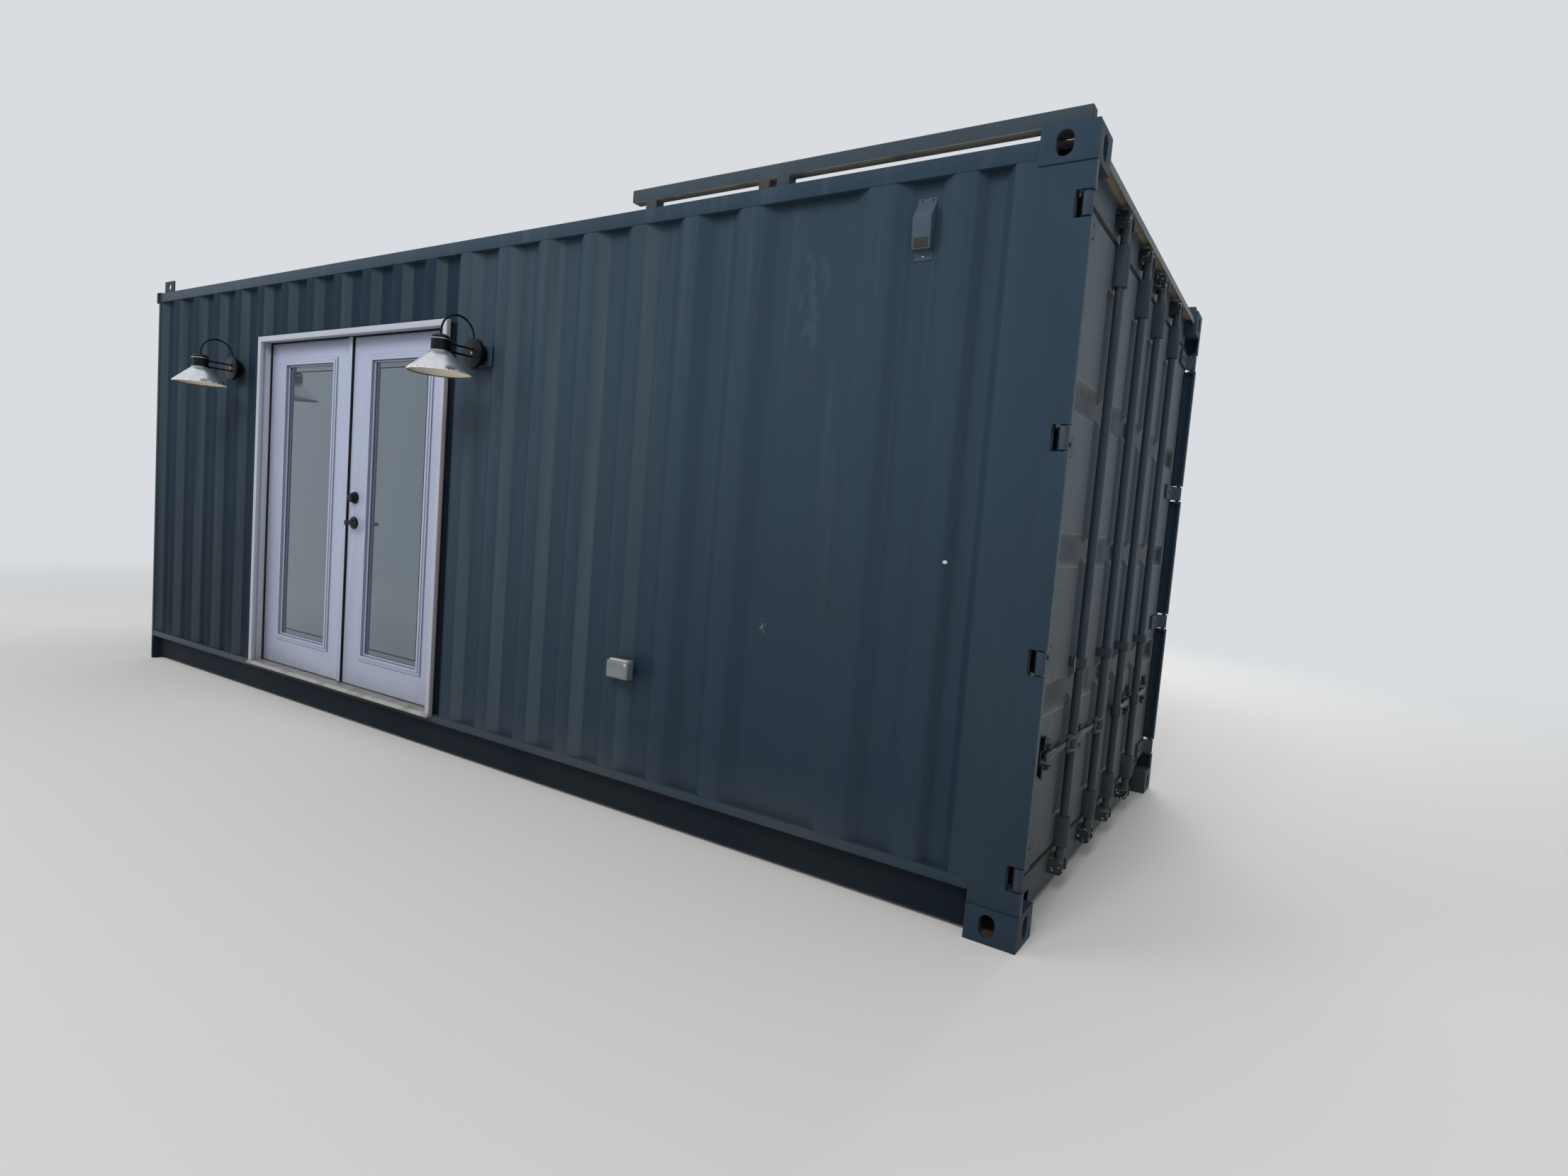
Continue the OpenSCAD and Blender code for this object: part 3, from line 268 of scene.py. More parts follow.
def slate(name, high=slate_high, low=slate_low, gloss=0.42, chalky=0.32):
    """Slate paint, from its colour high up and low down, its roughness and its chalkiness."""
    coat = Finish(name, Specular_IOR_Level=0.22)
    level, towards_doors = coat.along("Z"), coat.facing("X")
    cloud = coat.noise(0.9, 4)
    streak = coat.noise(0.06, 4, stretch=(1, 1, 0.03))
    speckle = coat.noise(0.008, 4)
    # Lighter high up and darker low down: painted sky light above and painted shade below.
    colour = coat.mix(level.ramp(*painted_light_levels) * 0.85 + cloud * 0.25, low, high)
    chalk = streak.ramp(0.52, 0.78) * level.ramp(*chalk_levels)
    colour = coat.mix(chalk * chalky, colour, slate_chalk)
    # Fold slopes that face the door end are painted paler, with streaks, as painted light on their
    # lit side. This fades out nearer the door end.
    painted_lit_slopes = towards_doors.ramp(0.2, 0.5) * towards_doors.ramp(0.8, 0.7)
    painted_lit_slopes = painted_lit_slopes * (1 - coat.along("X").ramp(*lit_slopes_fade))
    colour = coat.mix(painted_lit_slopes * (streak * 0.3 + 0.12), colour, slate_lit_slope)
    colour = coat.mix((1 - streak).ramp(0.55, 0.8) * 0.3, colour, low)
    dust = (1 - level.ramp(*dust_levels)) * cloud.ramp(0.35, 0.7)
    colour = coat.mix(dust * 0.35, colour, slate_dust)
    specks = (speckle * 0.5 + coat.noise(0.16, 5) * 0.5).ramp(0.655, 0.70)
    coat.colour = coat.mix(specks * 0.6, colour, rust_dark)
    coat.set("Base Color", coat.colour)
    coat.set("Roughness", gloss + streak * 0.18 + specks * 0.3)
    coat.relief(coat.noise(0.35, 2), 0.006, 0.35)
    coat.relief(speckle + specks, 0.0006, 0.35)
    return coat


nodes = frame["nodes"]
body_of = {node: body for body, names in frame["record"]["behaviour"]["bodies"].items()
           for node in names}


def clear_choice():
    if bpy.context.object and bpy.context.object.mode != "OBJECT":
        bpy.ops.object.mode_set(mode="OBJECT")
    bpy.ops.object.select_all(action="DESELECT")


def take_up(piece):
    clear_choice()
    piece.select_set(True)
    bpy.context.view_layer.objects.active = piece
    return piece


def cleaned(node, whole_faces=True):
    """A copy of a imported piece, with its loose triangles merged, and flat ones made one face."""
    mesh = nodes[node].data.copy()
    piece = bpy.data.objects.new(node + "_eased", mesh)
    bpy.context.collection.objects.link(piece)
    take_up(piece)
    bpy.ops.object.mode_set(mode="EDIT")
    bpy.ops.mesh.select_all(action="SELECT")
    bpy.ops.mesh.remove_doubles(threshold=0.00002)
    if whole_faces:
        bpy.ops.mesh.dissolve_limited(angle_limit=math.radians(0.6))
    bpy.ops.object.mode_set(mode="OBJECT")
    return piece


def eased(piece, width, steps=2, angle=30):
    """Every edge sharper than the angle rounded by this many millimetres."""
    take_up(piece)
    edge = piece.modifiers.new("eased", "BEVEL")
    edge.width = width / 1000
    edge.segments = steps
    edge.limit_method = "ANGLE"
    edge.angle_limit = math.radians(angle)
    bpy.ops.object.modifier_apply(modifier=edge.name)
    bpy.ops.object.shade_smooth_by_angle(angle=math.radians(40))
    return piece


def finished(piece, finish, body):
    """The piece with its finish, fixed to the body it moves with."""
    piece.data.materials.clear()
    piece.data.materials.append(finish.material)
    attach(piece, body)
    return piece


def stands_for(piece, node, finish):
    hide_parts(node)
    return finished(piece, finish, body_of[node])


def softened(node, finish, width, steps=2):
    """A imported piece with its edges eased, in its finish."""
    return stands_for(eased(cleaned(node), width, steps), node, finish)


rail_high, rail_low = paint(41, 57, 71), paint(30, 44, 55)
lip_under, beside_casting, bend_r = (150, 166), (-190, -180), 2.4
rail_coat = slate("slate_rails", high=rail_high, low=rail_low, gloss=0.4)
# Under the lip, short of the castings: painted shade, near black, with a rougher finish.
painted_lip_shade = ((1 - rail_coat.along("Z").ramp(*lip_under))
          * (1 - rail_coat.along("X").ramp(*beside_casting)))
rail_coat.set("Base Color", rail_coat.mix(painted_lip_shade * 0.75, rail_coat.colour, paint(6, 13, 22)))
rail_coat.set("Roughness", 0.46 + painted_lip_shade * 0.4)
for node in ("top_side_rails", "bottom_side_rails", "end_frame", "rear_corner_posts"):
    softened(node, rail_coat, bend_r)


# Corner castings: cast steel blocks at the door end, with round-ended holes, painted with the
# rails. Their skin is grainy, and the holes and lower edges have rusted where hooks wore them.
body_w = (castings[1].y - castings[0].y) * 1000
casting_w, casting_l, mid_level, holes_start = 162, 178, 1295.5, 1177


def inside(depth, size):
    """1 inside a casting of this size, and 0 on the skin of its two faces."""
    return depth.ramp(6, 13) * (1 - depth.ramp(size - 14, size - 6))


cast_coat = slate("slate_castings", high=rail_high, low=rail_low, gloss=0.5)
cast_coat.relief(cast_coat.noise(0.004, 3), 0.0012, 0.6)
from_side = body_w / 2 - abs(cast_coat.along("Y") - body_w / 2)
in_holes = inside(from_side, casting_w) * inside(-cast_coat.along("X"), casting_l)
in_holes = in_holes * (abs(cast_coat.along("Z") - mid_level) - holes_start).ramp(4, 20)
worn = (in_holes * 0.7 + cast_coat.noise(0.03, 4) * 0.5).ramp(0.8, 1.05)
rust = cast_coat.mix(cast_coat.noise(0.02, 4), rust_dark, rust_light)
cast_coat.set("Base Color", cast_coat.mix(worn, cast_coat.colour, rust))
for node in ("top_corner_castings", "bottom_corner_castings"):
    softened(node, cast_coat, 4, steps=3)


# Cross members: folded steel channels, welded between the bottom rails to carry the floor, under a
# thick black coat with road dirt on it.
def in_finish(finish, *names):
    """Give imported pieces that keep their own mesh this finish."""
    for name in names:
        for slot in nodes[name].material_slots:
            slot.material = finish.material


under_coat = Finish("under_coat", Roughness=0.75)
road_dirt = under_coat.noise(0.12, 5).ramp(0.42, 0.66)
under_coat.set("Base Color", under_coat.mix(road_dirt * 0.7, paint(46, 52, 56), paint(92, 84, 72)))
under_coat.relief(under_coat.noise(0.006, 3), 0.0015, 0.6)
in_finish(under_coat, "cross_members")


# Folded sheet walls: 2 mm steel pressed into upright recesses, whose folds are round because the
# sheet was bent over a tool, and welded to the rails all round. Left of the doorway and over it
# the paint is darker as painted shade, and dull. Right of it are a dot of pale paint, a chip and
# scuffs.
def none_chosen(piece, kind):
    """The piece taken up with nothing in its mesh chosen, ready to choose by EDGE or FACE."""
    take_up(piece)
    bpy.ops.object.mode_set(mode="EDIT")
    bpy.ops.mesh.select_mode(type=kind)
    bpy.ops.mesh.select_all(action="DESELECT")
    bpy.ops.object.mode_set(mode="OBJECT")
    return piece.data


def chosen_folds(piece, least, most):
    """Edit mode, with the edges chosen whose two faces meet at an angle in this range."""
    mesh = none_chosen(piece, "EDGE")
    beside = {}
    for face in mesh.polygons:
        for key in face.edge_keys:
            beside.setdefault(key, []).append(face.normal)
    for edge in mesh.edges:
        normals = beside.get(edge.key, [])
        if len(normals) == 2:
            edge.select = least < math.degrees(normals[0].angle(normals[1], 0)) < most
    bpy.ops.object.mode_set(mode="EDIT")


wall_fold_r, fold_angles = 11, (15, 50)


def folded(node, finish, radius=wall_fold_r):
    """A packed sheet with its folds rounded, in its finish."""
    piece = cleaned(node)
    chosen_folds(piece, *fold_angles)
    bpy.ops.mesh.bevel(offset=radius / 1000, segments=3, clamp_overlap=False)
    bpy.ops.object.mode_set(mode="OBJECT")
    bpy.ops.object.shade_smooth_by_angle(angle=math.radians(35))
    return stands_for(piece, node, finish)


wall_coat = slate("slate_walls")
for node in ("back_wall", "end_wall"):
    folded(node, wall_coat)
# Left of the doorway and over it: darker colours as painted shade, and a duller finish.
left_shade_coat = slate("slate_shade_left_of_doorway", high=paint(25, 40, 53), low=paint(16, 28, 39),
                  gloss=0.7, chalky=0.1)
for node in ("wall_left_of_doorway", "wall_over_doorway"):
    folded(node, left_shade_coat)


def spot(finish, middle, size):
    """1 inside an oval on the long side, from its middle and size along x and z."""
    across_it = (finish.along("X") - middle[0]) / (size[0] / 2)
    up_it = (finish.along("Z") - middle[1]) / (size[1] / 2)
    return 1 - (across_it * across_it + up_it * up_it).ramp(0.75, 1.15)


front_coat = slate("slate_right_of_doorway")
paint_dot = spot(front_coat, (-366, 1228), (13, 12))
small_chip = spot(front_coat, (-2680, 1092), (24, 8))
scuff = spot(front_coat, (-1093, 916), (34, 60)) * front_coat.noise(0.02, 4).ramp(0.5, 0.62)
worn_patch = spot(front_coat, (-985, 2120), (190, 420)) * front_coat.noise(
    0.03, 5, stretch=(1, 1, 0.35)).ramp(0.5, 0.66)
marked = front_coat.mix(worn_patch * 0.16, front_coat.colour, paint(76, 94, 112))
marked = front_coat.mix(scuff * 0.7, marked, paint(120, 130, 138))
marked = front_coat.mix(small_chip * 0.7, marked, paint(20, 22, 24))
front_coat.set("Base Color", front_coat.mix(paint_dot, marked, paint(205, 210, 212)))
folded("wall_right_of_doorway", front_coat)


# Roof: a sheet of 2 mm steel pressed with ribs across the body, welded between the top rails. The
# sun has chalked it, and dust lies between its ribs.
def measured(node):
    """A node's lowest and highest corners, as measures on the body."""
    return [Vector(((c.x - castings[1].x) * 1000, (c.y - castings[0].y) * 1000, c.z * 1000))
            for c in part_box(node)]


rib_rise, rib_fold_r = 18, 6
roof_coat = slate("slate_roof", high=paint(72, 86, 96), low=paint(64, 76, 86), gloss=0.6)
roof_top = measured("roof_panel")[1].z
rib_floors = 1 - roof_coat.along("Z").ramp(roof_top - rib_rise, roof_top - 3)
roof_dust = rib_floors * 0.4 + roof_coat.noise(0.25, 6).ramp(0.3, 0.8) * 0.25
roof_coat.set("Base Color", roof_coat.mix(roof_dust, roof_coat.colour, paint(112, 110, 102)))
folded("roof_panel", roof_coat, radius=rib_fold_r)


# Tubes and tab on the roof: square steel tube and a bent flat that were welded on later. The stubs
# by the cross tube were left bare where they were welded, and have rusted.
cross_at, cross_half, stub_levels = -1221, 60, (2572, 2596)
tube_coat = slate("slate_roof_tubes", high=paint(54, 65, 73), low=paint(46, 56, 63), gloss=0.5)
# Faces that look down are painted pale tan in patches, as light thrown up from the roof.
painted_underside_light = (-tube_coat.facing("Z")).ramp(0.3, 0.8) * tube_coat.noise(0.2, 3).ramp(0.25, 0.5)
tube_coat.colour = tube_coat.mix(painted_underside_light * 0.8, tube_coat.colour, paint(150, 146, 130))
by_cross = 1 - (abs(tube_coat.along("X") - cross_at) - cross_half).ramp(0, 30)
stub_rust = ((1 - tube_coat.along("Z").ramp(*stub_levels)) * (by_cross * 0.75 + 0.15)
             * tube_coat.noise(0.025, 4).ramp(0.35, 0.6))
tube_rust = tube_coat.mix(tube_coat.noise(0.015, 3), rust_dark, rust_light)
tube_coat.set("Base Color", tube_coat.mix(stub_rust, tube_coat.colour, tube_rust))
softened("roof_frame", tube_coat, 5, steps=3)
tab_coat = slate("dark_tab", high=paint(50, 56, 60), low=paint(44, 48, 52), gloss=0.55)
softened("roof_tab", tab_coat, 1.5)


# Floor: thick hardwood boards laid along the body and screwed to the cross members. They are
# worn dull, with dark joints between them.
plank_w = 145
plank_coat = Finish("floor_boards", Coat_Weight=0.15)
plank_gap = abs((plank_coat.along("Y") / plank_w).fraction() - 0.5).ramp(0.482, 0.492)
grain = plank_coat.noise(0.02, 6, stretch=(0.06, 1, 1))
wood = plank_coat.mix(grain, paint(112, 82, 56), paint(158, 122, 84))
wood = plank_coat.mix(plank_coat.noise(0.5, 3).ramp(0.45, 0.7) * 0.4, wood, paint(128, 112, 92))
plank_coat.set("Base Color", plank_coat.mix(plank_gap, wood, paint(44, 32, 24)))
plank_coat.set("Roughness", 0.45 + grain * 0.25)
plank_coat.relief(grain * 0.3 - plank_gap, 0.0012, 0.5)
in_finish(plank_coat, "floor_boards")


# Lining: sheets of pale board screwed to battens behind the steel, and painted off-white. A fine
# joint shows where two sheets meet, counted from the plain end.
board_w = 1200
plain_end = (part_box("end_frame")[0].x - castings[1].x) * 1000
board_coat = Finish("lining_board", Roughness=0.7)
across_board = ((board_coat.along("X") - plain_end) / board_w).fraction()
board_joint = abs(across_board - 0.5).ramp(0.4980, 0.4992)
board = board_coat.mix(board_coat.noise(0.6, 4), paint(212, 208, 198), paint(224, 221, 212))
board_coat.set("Base Color", board_coat.mix(board_joint * 0.7, board, paint(150, 144, 132)))
board_coat.relief(board_coat.noise(0.01, 3) * 0.2 - board_joint, 0.001, 0.5)
in_finish(board_coat, "lining_left_of_doorway", "lining_over_doorway",
          "lining_right_of_doorway", "back_lining", "end_lining", "ceiling_lining")


# Glazed doors: two leaves of moulded skin over a foam core between primed timber jambs, painted
# white and scuffed low down. The brick mould round them is nailed to the jambs and caulked. Its
# outer side is painted greyer as shade, and the gap behind it near black as painted shadow.
def door_white(name, tone):
    coat = Finish(name, IOR=1.5)
    cloud = coat.noise(0.5, 3)
    brush = coat.noise(0.004, 3, stretch=(1, 1, 0.08))
    white = coat.mix(cloud * 0.5, paint(*tone), paint(*[t - 9 for t in tone]))
    low_dirt = (1 - coat.along("Z").ramp(200, 460)) * coat.noise(0.05, 5).ramp(0.35, 0.7)
    white = coat.mix(low_dirt * 0.35, white, paint(150, 142, 130))
    smudge = coat.noise(0.09, 5).ramp(0.6, 0.8)
    coat.colour = coat.mix(smudge * 0.1, white, paint(150, 150, 150))
    coat.set("Base Color", coat.colour)
    coat.set("Roughness", 0.34 + brush * 0.12 + smudge * 0.15)
    coat.relief(brush, 0.0003, 0.2)
    coat.relief(cloud, 0.004, 0.1)
    return coat


frame_coat = door_white("white_frame", (167, 170, 183))
trim_low, trim_high = measured("doorway_trim")
mould_middle, mould_half = (trim_low.x + trim_high.x) / 2, (trim_high.x - trim_low.x) / 2
from_edge = abs(frame_coat.along("X") - mould_middle) - mould_half
# The trim's outer side is painted greyer as shade, and the jamb's side in the gap behind it is
# painted near black as shadow.
painted_edge_shade = from_edge.ramp(-2, -0.8)
depth_in = frame_coat.along("Y")
painted_gap_shadow = from_edge.ramp(-6, -5) * depth_in.ramp(7, 8)
gap_shadow_colour = frame_coat.mix(depth_in.ramp(18, 26), paint(12, 14, 17), paint(30, 40, 48))
edge_in_shade = frame_coat.mix(painted_edge_shade * 0.6, frame_coat.colour, paint(150, 138, 138))
frame_coat.set("Base Color", frame_coat.mix(painted_gap_shadow, edge_in_shade, gap_shadow_colour))
for node in ("doorway_jambs", "doorway_head", "doorway_trim"):
    softened(node, frame_coat, 1.5)

leaf_coat = door_white("white_leaves", (156, 163, 185))
pane_low, pane_high = measured("left_leaf_glass")
doors_middle, mould_steps = -3960, (31, 15.5)
pane_middle, pane_half = (pane_low + pane_high) / 2, (pane_high - pane_low) / 2
aside = abs(leaf_coat.along("X") - doors_middle) - abs(pane_middle.x - doors_middle)
beyond_pane = (abs(aside) - pane_half.x).over(
    abs(leaf_coat.along("Z") - pane_middle.z) - pane_half.z)
# Darker lines along the pane's edge and the two steps of the mould round it: painted shade in those
# creases.
painted_crease_shade = (1 - abs(beyond_pane - mould_steps[0] - 1).ramp(0.8, 2.6)).over(
    1 - abs(beyond_pane - mould_steps[1] - 1).ramp(0.6, 2.0)).over(
    1 - abs(beyond_pane).ramp(0.8, 2.0))
leaf_coat.set("Base Color", leaf_coat.mix(painted_crease_shade * 0.6, leaf_coat.colour, paint(84, 88, 104)))
for node in ("left_leaf", "right_leaf"):
    softened(node, leaf_coat, 1.5)


# Threshold: an extruded aluminium step with fine ribs along it, screwed down to the sill rail by a
# row of pan-headed zinc screws.
sill_metal = Finish("threshold_metal", Metallic=0.6)
sill_wear = sill_metal.noise(0.006, 4, stretch=(0.05, 1, 1))
sill_dirt = sill_metal.noise(0.08, 5).ramp(0.45, 0.7)
sill_worn = sill_metal.mix(sill_wear, paint(160, 158, 152), paint(190, 188, 182))
sill_metal.set("Base Color", sill_metal.mix(sill_dirt * 0.5, sill_worn, paint(120, 112, 98)))
sill_metal.set("Roughness", 0.38 + sill_wear * 0.2)
sill_metal.relief(sill_wear, 0.0004, 0.3)
softened("threshold", sill_metal, 2)


def settle(piece):
    """The piece with its place and size in its mesh."""
    take_up(piece)
    bpy.ops.object.transform_apply(location=True, rotation=True, scale=True)
    return piece


def turned(name, outline, foot, way, sides=24):
    """A round piece from (radius, height) pairs, standing on its foot and pointing this way."""
    clear_choice()
    radius, height = outline[0]
    bpy.ops.mesh.primitive_circle_add(vertices=sides, radius=radius / 1000, fill_type="NGON",
                                      location=(0, 0, 0))
    piece = bpy.context.object
    piece.name = name
    bpy.ops.object.mode_set(mode="EDIT")
    bpy.ops.mesh.select_all(action="SELECT")
    bpy.ops.transform.translate(value=(0, 0, height / 1000))
    for next_radius, next_height in outline[1:]:
        bpy.ops.mesh.extrude_region_move(
            TRANSFORM_OT_translate={"value": (0, 0, (next_height - height) / 1000)})
        grow = next_radius / radius
        bpy.ops.transform.resize(value=(grow, grow, 1), center_override=(0, 0, 0))
        radius, height = next_radius, next_height
    bpy.ops.mesh.select_all(action="SELECT")
    bpy.ops.mesh.normals_make_consistent(inside=False)
    bpy.ops.object.mode_set(mode="OBJECT")
    bpy.ops.object.shade_smooth_by_angle(angle=math.radians(40))
    piece.rotation_euler = Vector(way).to_track_quat("Z", "Y").to_euler()
    piece.location = at(*foot)
    return settle(piece)


def again(piece, shift):
    """A copy with its own mesh, this many millimetres away."""
    twin = piece.copy()
    twin.data = piece.data.copy()
    bpy.context.collection.objects.link(twin)
    twin.data.transform(Matrix.Translation(Vector(shift) / 1000))
    return twin


def joined(name, parts):
    """Like pieces made into one."""
    take_up(parts[0])
    for part in parts:
        part.select_set(True)
    bpy.ops.object.join()
    parts[0].name = name
    return parts[0]


steel = Finish("zinc_screws", Metallic=1.0)
steel_grain = steel.noise(0.002, 3)
steel.set("Base Color", steel.mix(steel_grain, paint(150, 150, 148), paint(196, 194, 188)))
steel.set("Roughness", 0.3 + steel_grain * 0.2)
sill_low, sill_high = measured("threshold")
pan_head = ((5.5, 0), (5.2, 1.2), (3.8, 2.3), (1.6, 2.6))
from_sill_end, screw_in, screw_count = 60, 20, 5
screw_pitch = (sill_high.x - sill_low.x - 2 * from_sill_end) / (screw_count - 1)
screw = turned("threshold_screw", pan_head, (sill_low.x + from_sill_end, screw_in, sill_high.z),
               (0, 0, 1))
screws = [screw] + [again(screw, (step * screw_pitch, 0, 0)) for step in range(1, screw_count)]
finished(joined("threshold_screws", screws), steel, "shell")


# Panes: sealed double glazing, two sheets of glass on a spacer frame with a thin dark line just
# inside it, held in the leaf by white beads. The glass mirrors the pale surround more than it shows
# the room, and has a little dust on it.
def block(name, low, high):
    """A rectangular start from two corners."""
    clear_choice()
    low, high = at(*low), at(*high)
    bpy.ops.mesh.primitive_cube_add(size=1, location=(low + high) / 2)
    piece = bpy.context.object
    piece.name = name
    piece.scale = high - low
    return settle(piece)


def work_on(piece, chosen):
    """Edit mode, with only the faces chosen by their middle and normal."""
    for face in none_chosen(piece, "FACE").polygons:
        face.select = bool(chosen(face.center, face.normal))
    bpy.ops.object.mode_set(mode="EDIT")


def hoop(name, low, high, width, open_along):
    """A flat four-sided frame of this width, open along x, which is 0, or y, which is 1."""
    piece = block(name, low, high)
    work_on(piece, lambda middle, normal: abs(normal[open_along]) > 0.9)
    bpy.ops.mesh.inset(thickness=width / 1000)
    bpy.ops.mesh.bridge_edge_loops()
    clear_choice()
    return piece


pane = Finish("door_glass", Transmission_Weight=0.75, IOR=1.7, Coat_Weight=0.6)
wiped = pane.noise(0.12, 4, stretch=(1, 1, 0.3)).ramp(0.5, 0.75)
pane.set("Base Color", pane.mix(wiped * 0.3, paint(122, 144, 160), paint(144, 160, 172)))
pane.set("Roughness", 0.015 + wiped * 0.05)
spacer_coat = Finish("glass_spacer", Roughness=0.5)
putty = spacer_coat.mix(spacer_coat.noise(0.01, 2), paint(104, 110, 110), paint(122, 127, 126))
spacer_coat.set("Base Color", putty)
border_coat = Finish("pane_edge_line", Roughness=0.6)
border_coat.set("Base Color", border_coat.mix(border_coat.noise(0.02, 3), paint(20, 26, 30),
                                              paint(36, 42, 46)))
sheet_t, sheet_gap, edge_gap, line_t = 4, 0.2, 1, 0.3
spacer_w, border_w, bead_w, bead_t = 36, 6, 9, 10
for leaf in ("left_leaf", "right_leaf"):
    low, high = measured(leaf + "_glass")
    sheets = [block(leaf + "_panes", (low.x + edge_gap, y, low.z + edge_gap),
                    (high.x - edge_gap, y + sheet_t, high.z - edge_gap))
              for y in (low.y, high.y - sheet_t)]
    stands_for(eased(joined(leaf + "_panes", sheets), 0.5, 1), leaf + "_glass", pane)
    between = sheet_t + sheet_gap
    spacer = hoop(leaf + "_spacer", (low.x + edge_gap, low.y + between, low.z + edge_gap),
                  (high.x - edge_gap, high.y - between, high.z - edge_gap), spacer_w, 1)
    finished(eased(spacer, 1), spacer_coat, leaf)
    border = hoop(leaf + "_pane_border", (low.x + spacer_w, low.y - line_t, low.z + spacer_w),
                  (high.x - spacer_w, low.y + line_t, high.z - spacer_w), border_w, 1)
    finished(border, border_coat, leaf)
    bead = hoop(leaf + "_beads", (low.x, low.y - bead_t, low.z),
                (high.x, low.y - line_t, high.z), bead_w, 1)
    inner_bead = again(bead, (0, high.y - low.y + bead_t + line_t, 0))
    finished(eased(joined(leaf + "_beads", [bead, inner_bead]), 3.5, 3), leaf_coat, leaf)


# Door seals: black foam-filled strips pressed into the jambs and the head, a fin on the meeting
# edge, and a sweep under each leaf, all folded thin where the doors close on them.
rubber = Finish("rubber", Roughness=0.8, Specular_IOR_Level=0.2)
rubber_dust = rubber.noise(0.05, 4).ramp(0.4, 0.7)
rubber.set("Base Color", rubber.mix(rubber_dust * 0.25, paint(18, 19, 20), paint(60, 58, 54)))
rubber.relief(rubber.noise(0.004, 2), 0.0005, 0.3)
jamb_left, jamb_right, head_under = -4848, -3072, 2158
strip_w, strip_front, strip_back = 10, 46, 54.5
strips = [block("frame_seals", (x, strip_front, sill_high.z), (x + strip_w, strip_back, head_under))
          for x in (jamb_left, jamb_right - strip_w)]
strips.append(block("frame_seals", (jamb_left + strip_w, strip_front, head_under - strip_w),
                    (jamb_right - strip_w, strip_back, head_under)))
finished(eased(joined("frame_seals", strips), 2.5, 3), rubber, "shell")
fin = block("meeting_seal", (-3964, 44, 214), (-3959.5, 60, 2150))
finished(eased(fin, 1.2), rubber, "left_leaf")
sweep_front, sweep_back, sweep_under, sweep_top = 60, 92, 207.5, 212.2
for leaf, sweep_from, sweep_to in (("left_leaf", -4842, -3965), ("right_leaf", -3955, -3078)):
    sweep = block(leaf + "_sweep", (sweep_from, sweep_front, sweep_under),
                  (sweep_to, sweep_back, sweep_top))
    finished(eased(sweep, 1.5), rubber, leaf)


# Lock set and lever: cast metal under a satin black coat, with dust on what faces up. The lever's
# spindle runs through the leaf to one like it inside, and a flared neck joins each lever to its
# rose.
black_coat = Finish("black_metal", Specular_IOR_Level=0.2, Coat_Weight=0.06)
black_grain = black_coat.noise(0.003, 3)
black_dust = black_coat.facing("Z").ramp(0.45, 0.95) * black_coat.noise(0.02, 4).ramp(0.35, 0.65)
black_coat.set("Base Color", black_coat.mix(black_dust * 0.15, paint(8, 9, 11),
                                            paint(70, 68, 64)))
black_coat.set("Roughness", 0.34 + black_grain * 0.16)
black_coat.relief(black_grain, 0.0003, 0.3)
softened("door_lock", black_coat, 1.2)
softened("door_lever", black_coat, 3, steps=3)
lever_x, lever_level, rose_t = -3896, 1125, 9
leaf_front, leaf_back = 55, 100
neck_shape = ((18, 0), (14.5, 5), (13, 14), (13, 24), (15, 31))
necks = [turned("lever_necks", neck_shape, (lever_x, leaf_front - rose_t, lever_level),
                (0, -1, 0)),
         turned("lever_necks", neck_shape, (lever_x, leaf_back + rose_t, lever_level),
                (0, 1, 0))]
finished(joined("lever_necks", necks), black_coat, "door_lever")


# Wall lamps: bent bars and a cast holder under the same black coat, on a round box that is screwed
# to the wall, the right one through a painted plate. A bare zinc ring closes the top of the holder
# and another clips the shade.
softened("lamp_block", rail_coat, 2)
softened("lamp_arms", black_coat, 1.5)
shade_low, shade_high = measured("lamp_shades")
shade_r = (shade_high.y - shade_low.y) / 2
lamp_x, lamp_y, lamp_level = shade_low.x + shade_r, shade_low.y + shade_r, 2000
to_right_lamp = (shade_high.x - shade_low.x - 2 * shade_r, 0, 0)
holder_r, holder_half, box_front = 42, 30, -44.5
bright_zinc = Finish("bright_lamp_rings", Metallic=1.0)
ring_grain = bright_zinc.noise(0.004, 3)
bright_zinc.set("Base Color", bright_zinc.mix(ring_grain, paint(176, 178, 180),
                                              paint(212, 214, 216)))
bright_zinc.set("Roughness", 0.24 + ring_grain * 0.2)


def ring(name, centre, radius, thick, sides=48, way=(0, 0, 1)):
    """A round wire ring whose open side faces this way."""
    clear_choice()
    bpy.ops.mesh.primitive_torus_add(major_radius=radius / 1000, minor_radius=thick / 1000,
                                     major_segments=sides, minor_segments=10,
                                     location=at(*centre))
    piece = bpy.context.object
    piece.name = name
    piece.rotation_euler = Vector(way).to_track_quat("Z", "Y").to_euler()
    bpy.ops.object.shade_smooth()
    return settle(piece)


lamp_nut = ((6.5, 0), (6.2, 1.4), (4.2, 2.8), (1.8, 3.2))
rings = [ring("lamp_rings", (lamp_x, lamp_y, lamp_level + holder_half - 3.5), holder_r + 3.2, 2.4),
         ring("lamp_rings", (lamp_x, lamp_y, lamp_level - holder_half + 2.5), holder_r + 1.5, 2.5),
         turned("lamp_rings", lamp_nut, (lamp_x, box_front, lamp_level), (0, -1, 0))]
rings += [again(part, to_right_lamp) for part in rings]
finished(joined("lamp_rings", rings), bright_zinc, "shell")


